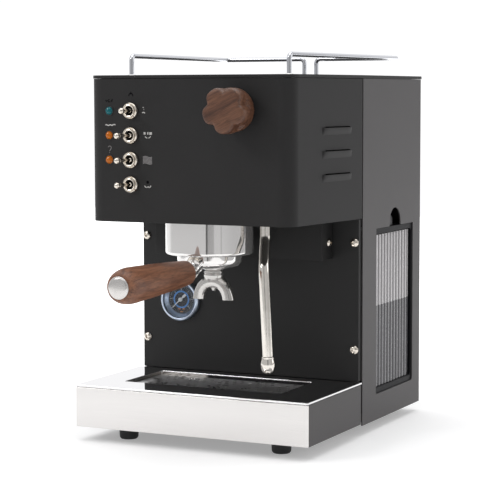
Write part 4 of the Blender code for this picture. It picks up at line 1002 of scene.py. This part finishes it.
def make_knob():
    """The walnut steam knob: five lobes with eased edges on a plain round back. A section is a depth
    from the face, a radius and how much of the scallops' depth is cut there."""
    x, z = centre("valve_spindle").x, centre("valve_spindle").z
    front = low("steam_knob").y
    sections = [
        *((0.0, 14.6, 0.72), (0.15, 17.8, 0.86), (0.5, 19.6, 0.94), (1.1, 20.7, 1.0), (2.0, 21.3, 1.0)),
        *((3.4, 21.7, 1.0), (9.0, 21.7, 1.0), (13.8, 21.6, 0.98), (15.2, 21.3, 0.9), (16.1, 21.0, 0.6)),
        *((16.7, 20.7, 0.25), (17.1, 20.4, 0.0), (17.6, 20.2, 0.0), (24.6, 20.2, 0.0), (25.5, 19.8, 0.0)),
        *((26.1, 18.8, 0.0), (26.5, 17.0, 0.0)),
    ]
    steps = 160
    rings = []
    for depth, radius, share in sections:
        ring = []
        for step in range(steps):
            angle = 2 * math.pi * step / steps
            nearest = (angle - math.pi / 2 + math.pi / 5) % (2 * math.pi / 5) - math.pi / 5
            scallop = math.exp(-((abs(nearest) / math.radians(13.5)) ** 1.9))
            reach = (radius - 4.6 * share * scallop) * MM
            ring.append((x + reach * math.cos(angle), front + depth * MM, z + reach * math.sin(angle)))
        rings.append(ring)
    middle = [[(x + (u - x) * 0.4, front - 0.12 * MM, z + (w - z) * 0.4) for u, _, w in rings[0]]]
    knob = skin("knob", middle + rings, angle=50)
    finish_piece(knob, "knob_walnut", "steam_knob", ["steam_knob"])
    seat = [(3.6, 0), (9.4, 0), (9.4, 0.8), (8.6, 1.4), (8.6, 3), (7.4, 3.4), (3.6, 3.4)]
    nut = lathe("knob_nut", scaled(seat), (x, HEAD[0].y - 0.05 * MM, z), "Y", 48)
    finish_piece(nut, "nickel", "machine")
    dress("valve_spindle", "front_steel", 0)
    dress("steam_valve", "brass")


# The wand's corners in millimetres: how far to the side, how far ahead, and the height.
WAND_PATH = [(0, 0, 229.8), (0, 0, 198.5), (-1.6, 22, 173), (2.1, 24, 89.8)]


def make_wand():
    """The steam wand's fitting, its bent tube with a lock nut, and the rounded steam tip."""
    fit_low, fit_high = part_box("wand_fitting")
    x, y = centre("wand_fitting").x, centre("wand_fitting").y
    height = (fit_high.z - fit_low.z) / MM
    profile = [(5.3, 0.4), (5.8, 0), (7.2, 0), (8, 0.5), (8.7, 1.5), (8.8, 2.4), (8.8, height), (5.3, height)]
    fitting = lathe("fitting", scaled(profile), (x, y, fit_low.z), steps=64)
    finish_piece(fitting, "nickel", "machine", ["wand_fitting"])
    forward, side = Vector((0.437, -0.9, 0)), Vector((0.9, 0.437, 0))
    corners = []
    for sideways, ahead, z in WAND_PATH:
        plan = Vector((x, y, 0)) + (side * sideways + forward * ahead) * MM
        corners.append((plan.x, plan.y, z * MM))
    wand = rod("wand", bent(corners, 13 * MM, 14), 5 * MM, 16)
    finish_piece(wand, "wand_steel", "steam_wand", ["steam_wand"])
    tip = [(0, 0.2), (1.2, 0.2), (1.3, 0), (2.6, 0.25), (4.4, 1.2), (5.8, 3.1), (6.6, 5.8), (6.8, 8.2)]
    tip += [(6.7, 10.2), (6.35, 12.2), (5.9, 13.8), (5.75, 14.5), (6.0, 14.9), (6.0, 15.8)]
    tip += [(5.6, 16.4), (5.2, 16.5), (0, 16.5)]
    at = centre("steam_tip")
    nozzle = lathe("tip", scaled(tip), (at.x, at.y, low("steam_tip").z), steps=72)
    finish_piece(nozzle, "wand_steel", "steam_wand", ["steam_tip"])


# ---------------------------------------------------------------- controls


def make_switches():
    """Four toggle switches: a ringed nut round a well drawn black as painted shade, and a lever with a turned
    ball end.
    """
    for number, tilt in enumerate(LEVER_TILTS, start=1):
        at = centre(f"switch_bushing_{number}")
        face = Vector((at.x, HEAD[0].y, at.z))
        nut = [(4.5, 4.3), (4.8, 4.8), (5.3, 5), (5.9, 4.8), (6.2, 4.2), (6.4, 3.7), (6.7, 3.9)]
        nut += [(7.2, 3.9), (7.8, 3.3), (8.1, 2.4), (8.1, 0.3), (4.5, 0.3)]
        ring = lathe(f"nut_{number}", scaled(nut), face, "Y", 64)
        finish_piece(ring, "nickel", "machine", [f"switch_bushing_{number}"])
        # The well is painted shade: a near-black tube inside the nut's opening.
        well = [(4.45, 4.2), (4.45, -18), (2.6, -18), (2.6, -5), (3.2, -4.2), (4.1, 4.2)]
        tube = lathe(f"well_{number}", scaled(well), face, "Y", 40)
        finish_piece(tube, "shadow_gap", "machine")
        bat = arc(0, 0.4, 2.9, -90, 54, 10)
        bat += [(1.6, 3.2), (1.55, 4), (1.6, 7), (1.85, 12), (2.2, 16.4), (2.2, 18.2), (2.4, 18.8)]
        bat += arc(0, 21, 3, -40, 80, 12)
        hinge = face + Vector((0, -1.5 * MM, 0))
        lever = lathe(f"lever_{number}", scaled(bat + [(0, 24)]), hinge, "Y", 48)
        lever.data.transform(about(hinge, tilt, "Z"))
        finish_piece(lever, "nickel", f"switch_{number}", [f"switch_lever_{number}"])


def make_lamps():
    """Three jewel lamps: faceted lenses, each in a thin dark seat. A facet's corners have a radius, a
    height over the head and a share of a step round."""
    facets = ((3.0, -9, 0), (3.0, 0.35, 0), (3.9, 0.4, 0), (3.7, 1.3, 0.5), (2.6, 2.7, 0), (1.1, 3.4, 0.5))
    for node, material in zip(LAMPS, ("teal_lens", "amber_lens", "amber_lens")):
        at = Vector((centre(node).x, HEAD[0].y, centre(node).z))
        rings = []
        for radius, height, turn in facets:
            ring = []
            for step in range(10):
                angle = 2 * math.pi * (step + turn) / 10
                reach = Vector((math.cos(angle) * radius, -height, math.sin(angle) * radius))
                ring.append(tuple(at + reach * MM))
            rings.append(ring)
        lens = skin(f"lens_{node}", rings, angle=4)
        finish_piece(lens, material, "machine", [node])
        profile = [(3.95, 0.05), (4.6, 0.05), (4.6, 0.5), (4.3, 0.8), (3.95, 0.8)]
        seat = lathe(f"seat_{node}", scaled(profile), at, "Y", 40)
        finish_piece(seat, "black_plastic", "machine")


def stroke(points, half):
    """The outline of a line of this half width through points."""
    left, right = [], []
    for index, point in enumerate(points):
        before, after = points[max(0, index - 1)], points[min(len(points) - 1, index + 1)]
        along = (Vector(after) - Vector(before)).normalized()
        across = Vector((-along.y, along.x)) * half
        left.append(tuple(Vector(point) + across))
        right.append(tuple(Vector(point) - across))
    return left + right[::-1]


def marks(name, outlines, face_y, material):
    """Thin printed marks on a face that looks to the front."""
    back, front = face_y - 0.05 * MM, face_y - 0.005 * MM
    pieces = [sheet("mark", [outline], back, front, "Y", 0.002 * MM) for outline in outlines]
    finish_piece(joined(name, pieces), material, "machine")


def moved(outlines, x, z, scale=1.0):
    """Outlines in millimetres, scaled and brought to a place on a face."""
    return [[(x + u * scale * MM, z + v * scale * MM) for u, v in outline] for outline in outlines]


def make_icons():
    """Plain pictograms beside the switches and over the lamps."""
    face = HEAD[0].y
    rows = [centre(f"switch_bushing_{n}").z for n in (1, 2, 3, 4)]
    lamp_x = centre("power_lamp").x
    switch_x = centre("switch_bushing_1").x
    near_x, far_x = switch_x + 13.3 * MM, switch_x + 17.6 * MM
    power = [stroke(arc(0, 0, 1.7, -20, 200, 12), 0.36), stroke([(0, 0.7), (0, 2.9)], 0.32)]
    marks("mark_power", moved(power, switch_x, rows[0] + 14.4 * MM, 1.25), face, "ink_black")
    letters = [
        stroke([(-3.6, 0.9), (-2.7, -0.6), (-1.9, 0.9)], 0.3),
        stroke(arc(-0.2, 0.2, 1.0, 60, 330, 10), 0.3),
        stroke([(1.5, -0.8), (2.4, 1.1), (3.4, 1.2)], 0.3),
        stroke([(1.9, 0.1), (3.2, 0.0)], 0.24),
    ]
    marks("mark_lamp_1", moved(letters, lamp_x, rows[0] + 9.2 * MM, 1.2), face, "ink_black")
    wave = [(-4.6 + 0.5 * step, 0.25 * math.sin(step * 0.9) + 0.3 * (step > 12)) for step in range(19)]
    wave = moved([stroke(wave, 0.42)], lamp_x + 1.2 * MM, rows[1] + 9.6 * MM, 1.2)
    marks("mark_lamp_2", wave, face, "ink_white")
    hook = arc(0, 1.0, 1.5, 160, -60, 10) + [(0.2, -0.9), (-0.1, -1.6)]
    question = [stroke(hook, 0.22), circle(-0.2, -2.6, 0.3, 10)]
    marks("mark_lamp_3", moved(question, lamp_x, rows[2] + 10 * MM, 1.2), face, "ink_grey")
    drop = [circle(0, 2.6, 0.42, 10), circle(0.6, 0.9, 0.3, 10)]
    drop.append(stroke([(-1.1, -1.5), (0.3, -1.1), (1.6, -1.7)], 0.38))
    marks("mark_switch_1", moved(drop, near_x, rows[0], 1.22), face, "ink_white")
    steam = [rectangle(-2.5, 1.7, 0.85, 0.95), rectangle(0.4, 1.7, 0.5, 0.95), rectangle(2.9, 1.6, 1.15, 1.0)]
    steam += [stroke(arc(0.3, 0.9, 2.9, 215, 262, 6), 0.34), stroke(arc(0.3, 0.9, 2.9, 282, 330, 6), 0.34)]
    marks("mark_switch_2", moved(steam, far_x, rows[1], 1.22), face, "ink_white")
    flag = []
    for line in range(6):
        ripple = [(-4.1 + 0.8 * step, 2.5 - line + 0.45 * math.sin(step * 0.62)) for step in range(11)]
        flag.append(stroke(ripple, 0.33))
    marks("mark_switch_3", moved(flag, far_x, rows[2], 1.22), face, "ink_grey")
    marks("mark_switch_4", moved([circle(0, 2.0, 1.15, 18)], far_x, rows[3], 1.22), face, "ink_black")
    cup = [stroke(arc(0, 0.6, 3.0, 205, 250, 6), 0.34), stroke(arc(0.1, 0.9, 2.6, 258, 292, 5), 0.4)]
    cup.append(stroke(arc(0, 0.6, 3.1, 298, 338, 6), 0.34))
    marks("mark_switch_4_cup", moved(cup, far_x, rows[3], 1.22), face, "ink_white")


# Where the gauge's scale starts, anticlockwise from three o'clock, and how far round it goes.
DIAL_START = 222
DIAL_SWEEP = 264


def make_gauge():
    """The pressure gauge: rolled bezel, sloped reflector, black dial with its ring, ticks and needle."""
    at = centre("gauge_dial")
    face = Vector((at.x, PANEL_FRONT, at.z))
    dial_y = low("gauge_dial").y
    bezel = [(19.3, -19), (19.3, 0.3), (21.6, 0.3), (21.9, 0.6), (21.9, 3.2), (21.6, 4.3), (20.9, 5.4)]
    bezel += [(20.1, 6.1), (19.4, 6.4), (18.7, 6.2), (18.4, 5.6), (18.3, 4.6), (15.6, 1.5), (14.7, 0.5)]
    bezel += [(14.5, 0.05), (14.5, -0.9), (15.5, -1.6), (15.5, -19)]
    case = lathe("gauge_body", scaled(bezel), face, "Y", 96)
    finish_piece(case, "bezel_steel", "machine", ["gauge_case"])
    disc = lathe("dial", scaled([(0, -0.7), (14.45, -0.7), (14.45, 0), (0, 0)]), face, "Y", 72)
    finish_piece(disc, "dial_black", "machine", ["gauge_dial"])
    blue = circle(0, 0, 9.1, 60), circle(0, 0, 7.4, 60)
    blue = moved(blue, at.x, at.z)
    band = sheet("dial_ring", blue, dial_y - 0.06 * MM, dial_y - 0.01 * MM, "Y", 0.002 * MM)
    finish_piece(band, "dial_blue", "machine")
    ticks = []
    for step in range(31):
        angle = math.radians(DIAL_START - DIAL_SWEEP * step / 30)
        inner = 11.2 if step % 5 == 0 else 12.2
        reach = Vector((math.cos(angle), math.sin(angle)))
        ticks.append(stroke([tuple(reach * inner), tuple(reach * 13.4)], 0.24 if step % 5 == 0 else 0.12))
    marks("dial_ticks", moved(ticks, at.x, at.z), dial_y, "ink_white")
    gold = [rectangle(-2.3, -9.8, 1.0, 0.65), rectangle(2.6, -9.6, 1.1, 0.65)]
    gold.append(rectangle(0.2, -12.6, 1.6, 0.5))
    marks("dial_marks", moved(gold, at.x, at.z), dial_y, "ink_orange")
    for number in range(7):
        angle = math.radians(DIAL_START - DIAL_SWEEP * number / 6)
        text = bpy.data.curves.new("numeral", "FONT")
        text.body = str(number * 3)
        text.size = 2.5 * MM
        text.align_x, text.align_y = "CENTER", "CENTER"
        text.extrude = 0.02 * MM
        numeral = link("numeral", text)
        spot = moved([[(10.1 * math.cos(angle), 10.1 * math.sin(angle))]], at.x, at.z)[0][0]
        spot = (spot[0], dial_y - 0.03 * MM, spot[1])
        numeral.matrix_world = Matrix.Translation(spot) @ TO_AXIS["Y"].to_4x4()
        numeral = settled(numeral)
        numeral.name = f"dial_numeral_{number}"
        finish_piece(numeral, "ink_white", "machine")
    y = centre("gauge_needle").y
    turn = Matrix.Rotation(math.radians(DIAL_START), 2)
    edge = [(14.2, 0.1), (2, 0.55), (-3.4, 0.6), (-4.6, 1.3), (-8.2, 1.15)]
    needle = edge + [(reach, -half) for reach, half in reversed(edge)]
    outline = [tuple(turn @ Vector(point)) for point in needle]
    blade = sheet("needle", moved([outline], at.x, at.z), y - 0.25 * MM, y + 0.25 * MM, "Y", 0.06 * MM)
    hub = [(0, -0.9), (2.1, -0.9), (2.1, 0.7), (1.7, 1), (0, 1)]
    hub = lathe("hub", scaled(hub), (at.x, y, at.z), "Y", 40)
    needle = joined("needle", [blade, hub])
    finish_piece(needle, "needle_white", "gauge_needle", ["gauge_needle"])
    dress("gauge_glass", "gauge_glass", 0)


# ---------------------------------------------------------------- water and power

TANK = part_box("water_tank")
WINDOW_Y = TANK[0].y - 2.3 * MM, TANK[1].y + 3.4 * MM
WINDOW_Z = TANK[0].z - 6.3 * MM, TANK[1].z + 6.6 * MM


def make_tank():
    """The ribbed clear tank, open at its top, with its water."""
    near, far, inner_x, outer_x = TANK[0].y, TANK[1].y, TANK[0].x, TANK[1].x
    rib, pitch = 1.2 * MM, rib_pitch()
    face, chamfer = outer_x - rib, 1.5 * MM
    line = [(inner_x, far), (inner_x, near), (face - chamfer, near), (face, near + chamfer)]
    crest = ((0.0, 0), (0.08, 0.45), (0.18, 0.85), (0.32, 1), (0.46, 0.85), (0.56, 0.45), (0.64, 0))
    for number in range(RIB_COUNT):
        start = near + RIB_MARGIN + number * pitch
        for share, lift in crest:
            line.append((face + rib * lift, start + share * pitch))
    line += [(face, far - chamfer), (face - chamfer, far)]
    wall = 2 * MM
    shell = sheet("tank_shell", [line], TANK[0].z, TANK[1].z, edge=0.5 * MM)
    half_x, half_y = (face - inner_x) / 2 - wall, (far - near) / 2 - wall
    middle = ((inner_x + face) / 2, (near + far) / 2)
    room = rounded(rectangle(*middle, half_x, half_y), 5 * MM, 6)
    shell = cut(shell, sheet("room", [room], TANK[0].z + wall, TANK[1].z + 6 * MM, edge=0.01 * MM))
    finish_piece(shell, "tank_plastic", "tank", ["water_tank"], flat=True)
    water = rounded(rectangle(*middle, half_x - 0.2 * MM, half_y - 0.2 * MM), 4.8 * MM, 6)
    pool = sheet("tank_water", [water], TANK[0].z + wall + 0.2 * MM, WATER_LEVEL)
    finish_piece(pool, "water", "tank")


def make_window():
    """The window's black liner behind the case, and the tank's grip in the finger notch."""
    case_x = COLUMN[1].x - SHEET
    (y0, y1), (z0, z1) = WINDOW_Y, WINDOW_Z
    outer = around(y0 - 2 * MM, y1 + 3 * MM, z0 - 2 * MM, z1 - 0.2 * MM)
    inner = around(TANK[0].y - 0.8 * MM, TANK[1].y + 0.8 * MM, z0 + 5.7 * MM, TANK[1].z + 0.8 * MM)
    outlines = [rounded(outer, 3 * MM, 5), rounded(inner, 3.4 * MM, 6)]
    liner = sheet("window_liner", outlines, case_x - 14 * MM, case_x - 0.1 * MM, "X", 0.3 * MM)
    finish_piece(liner, "liner_black", "machine", flat=True)
    notch_y = (y0 + y1) / 2
    grip = rounded(rectangle(notch_y, TANK[1].z + 8 * MM, 7.5 * MM, 9.4 * MM), 6.5 * MM, 8)
    tab = sheet("tank_grip", [grip], TANK[1].x - 6.2 * MM, TANK[1].x - 3.2 * MM, "X", 1 * MM)
    finish_piece(tab, "grip_grey", "tank")


def make_back():
    """The pump, its pipe and the power inlet with three metal pins."""
    dress("pump", "black_plastic", 0.5 * MM)
    dress("boiler_feed_pipe", "copper", 0)
    dress("power_inlet", "black_plastic", 0.4 * MM)
    at = centre("power_inlet")
    rear = high("outer_case").y
    for number, (u, v) in enumerate(((-7, -2), (0, 2), (7, -2)), start=1):
        outline = rounded(rectangle(at.x + u * MM, at.z + v * MM, 1.15 * MM, 2.2 * MM), 0.5 * MM, 3)
        pin = sheet(f"inlet_pin_{number}", [outline], rear - 13.8 * MM, rear - 4.5 * MM, "Y", 0.3 * MM)
        finish_piece(pin, "nickel", "machine")


# ---------------------------------------------------------------- studio


def make_floor():
    mesh = bpy.data.meshes.new("floor")
    near, far, side = -1.1, 3.0, 1.2
    corners = [(-side, near, 0), (side, near, 0), (side, far, 0), (-2.5, far, 0)]
    mesh.from_pydata(corners, [], [(0, 1, 2, 3)])
    floor = link("floor", mesh)
    paper = Paint("studio_floor", (0.84, 0.84, 0.84), 0.85, Specular_IOR_Level=0.1)
    tone = paper.noise(3, detail=2)
    paper.colour(paper.mix(tone, (0.835, 0.835, 0.835), (0.845, 0.845, 0.845)))
    across = paper.node("ShaderNodeSeparateXYZ", {"Vector": paper.place})
    fade = {"Value": across.outputs["Y"], "From Min": 0.25, "From Max": 1.3, "To Min": 0.3, "To Max": 1.0}
    glow = paper.node("ShaderNodeMapRange", fade).outputs["Result"]
    paper.shader.inputs["Emission Color"].default_value = (1, 1, 1, 1)
    paper.tree.links.new(glow, paper.shader.inputs["Emission Strength"])
    mesh.materials.append(paper.material)


def make_world():
    """A white studio that is brighter behind, with two dim bands either side of the camera."""
    world = bpy.data.worlds.new("studio")
    world.use_nodes = True
    bpy.context.scene.world = world
    tree = world.node_tree
    background = tree.nodes["Background"]
    place = tree.nodes.new("ShaderNodeTexCoord").outputs["Generated"]
    axes = tree.nodes.new("ShaderNodeSeparateXYZ")
    front = tree.nodes.new("ShaderNodeMath")
    front.operation = "MULTIPLY"
    front.inputs[1].default_value = -1
    bearing = tree.nodes.new("ShaderNodeMath")
    bearing.operation = "ARCTAN2"
    share = tree.nodes.new("ShaderNodeMapRange")
    share.inputs["From Min"].default_value = -math.pi
    share.inputs["From Max"].default_value = math.pi
    ring = tree.nodes.new("ShaderNodeValToRGB")
    for source, target in (
        (place, axes.inputs[0]),
        (axes.outputs["Y"], front.inputs[0]),
        (axes.outputs["X"], bearing.inputs[0]),
        (front.outputs[0], bearing.inputs[1]),
        (bearing.outputs[0], share.inputs["Value"]),
        (share.outputs[0], ring.inputs["Fac"]),
        (ring.outputs["Color"], background.inputs["Color"]),
    ):
        tree.links.new(source, target)
    elements = ring.color_ramp.elements
    while len(elements) < len(WORLD_RING):
        elements.new(0.5)
    for element, (position, grey) in zip(elements, WORLD_RING):
        element.position = position
        element.color = (grey, grey, grey * 1.01, 1)
    background.inputs["Strength"].default_value = 1.0


# Grey of the studio by bearing, from 0 to 1 round the machine: 0 and 1 are behind it, a half is in
# front and three quarters is at its right. The narrow dark stops draw the dark lines down the chrome.
WORLD_RING = [
    *((0.0, 1.05), (0.14, 1.05), (0.22, 0.9), (0.25, 0.58), (0.547, 0.58)),
    *((0.551, 0.03), (0.560, 0.03), (0.564, 0.33), (0.602, 0.36), (0.612, 0.58)),
    *((0.655, 0.58), (0.658, 0.40), (0.663, 0.40), (0.667, 0.58)),
    *((0.75, 0.5), (0.90, 0.48), (0.95, 1.05), (1.0, 1.05)),
]


def area_light(name, place, target, width, height, power):
    light = bpy.data.lights.new(name, "AREA")
    light.shape = "RECTANGLE"
    light.size, light.size_y = width, height
    light.energy = power
    lamp = link(name, light)
    direction = Vector(target) - Vector(place)
    lamp.matrix_world = Matrix.Translation(place) @ direction.to_track_quat("-Z", "Y").to_matrix().to_4x4()


def make_camera():
    data = bpy.data.cameras.new("camera")
    data.lens, data.sensor_width = 126.6, 36
    data.clip_start, data.clip_end = 0.05, 50
    camera = link("camera", data)
    azimuth, pitch, roll = (math.radians(angle) for angle in (25.934, 5.072, -0.12))
    level = Vector((-math.sin(azimuth), math.cos(azimuth), 0))
    forward = level * math.cos(pitch) - Vector((0, 0, math.sin(pitch)))
    right = Vector((math.cos(azimuth), math.sin(azimuth), 0))
    up = right.cross(forward)
    across = right * math.cos(roll) + up * math.sin(roll)
    upward = up * math.cos(roll) - right * math.sin(roll)
    turn = Matrix((across, upward, -forward)).transposed().to_4x4()
    camera.matrix_world = Matrix.Translation((0.77030, -1.53873, 0.33653)) @ turn
    bpy.context.scene.camera = camera


def make_studio():
    make_floor()
    make_world()
    area_light("key", (-1.3, -1.6, 1.7), (0, 0, 0.2), 0.7, 0.7, 12)
    area_light("overhead", (0.1, -0.1, 2.4), (0, 0, 0), 2.4, 2.4, 26)
    area_light("rim_right", (2.0, 1.3, 0.9), (0.1, 0.1, 0.2), 1.2, 1.4, 7)
    make_camera()
    bpy.context.scene.view_settings.view_transform = "Standard"


make_case()
make_head()
make_lid()
make_rails()
make_screws()
make_base_top()
make_grille()
make_drawer()
make_feet()
make_group()
make_portafilter()
make_spout()
make_handle()
make_knob()
make_wand()
make_switches()
make_lamps()
make_icons()
make_gauge()
make_tank()
make_window()
make_back()
make_studio()
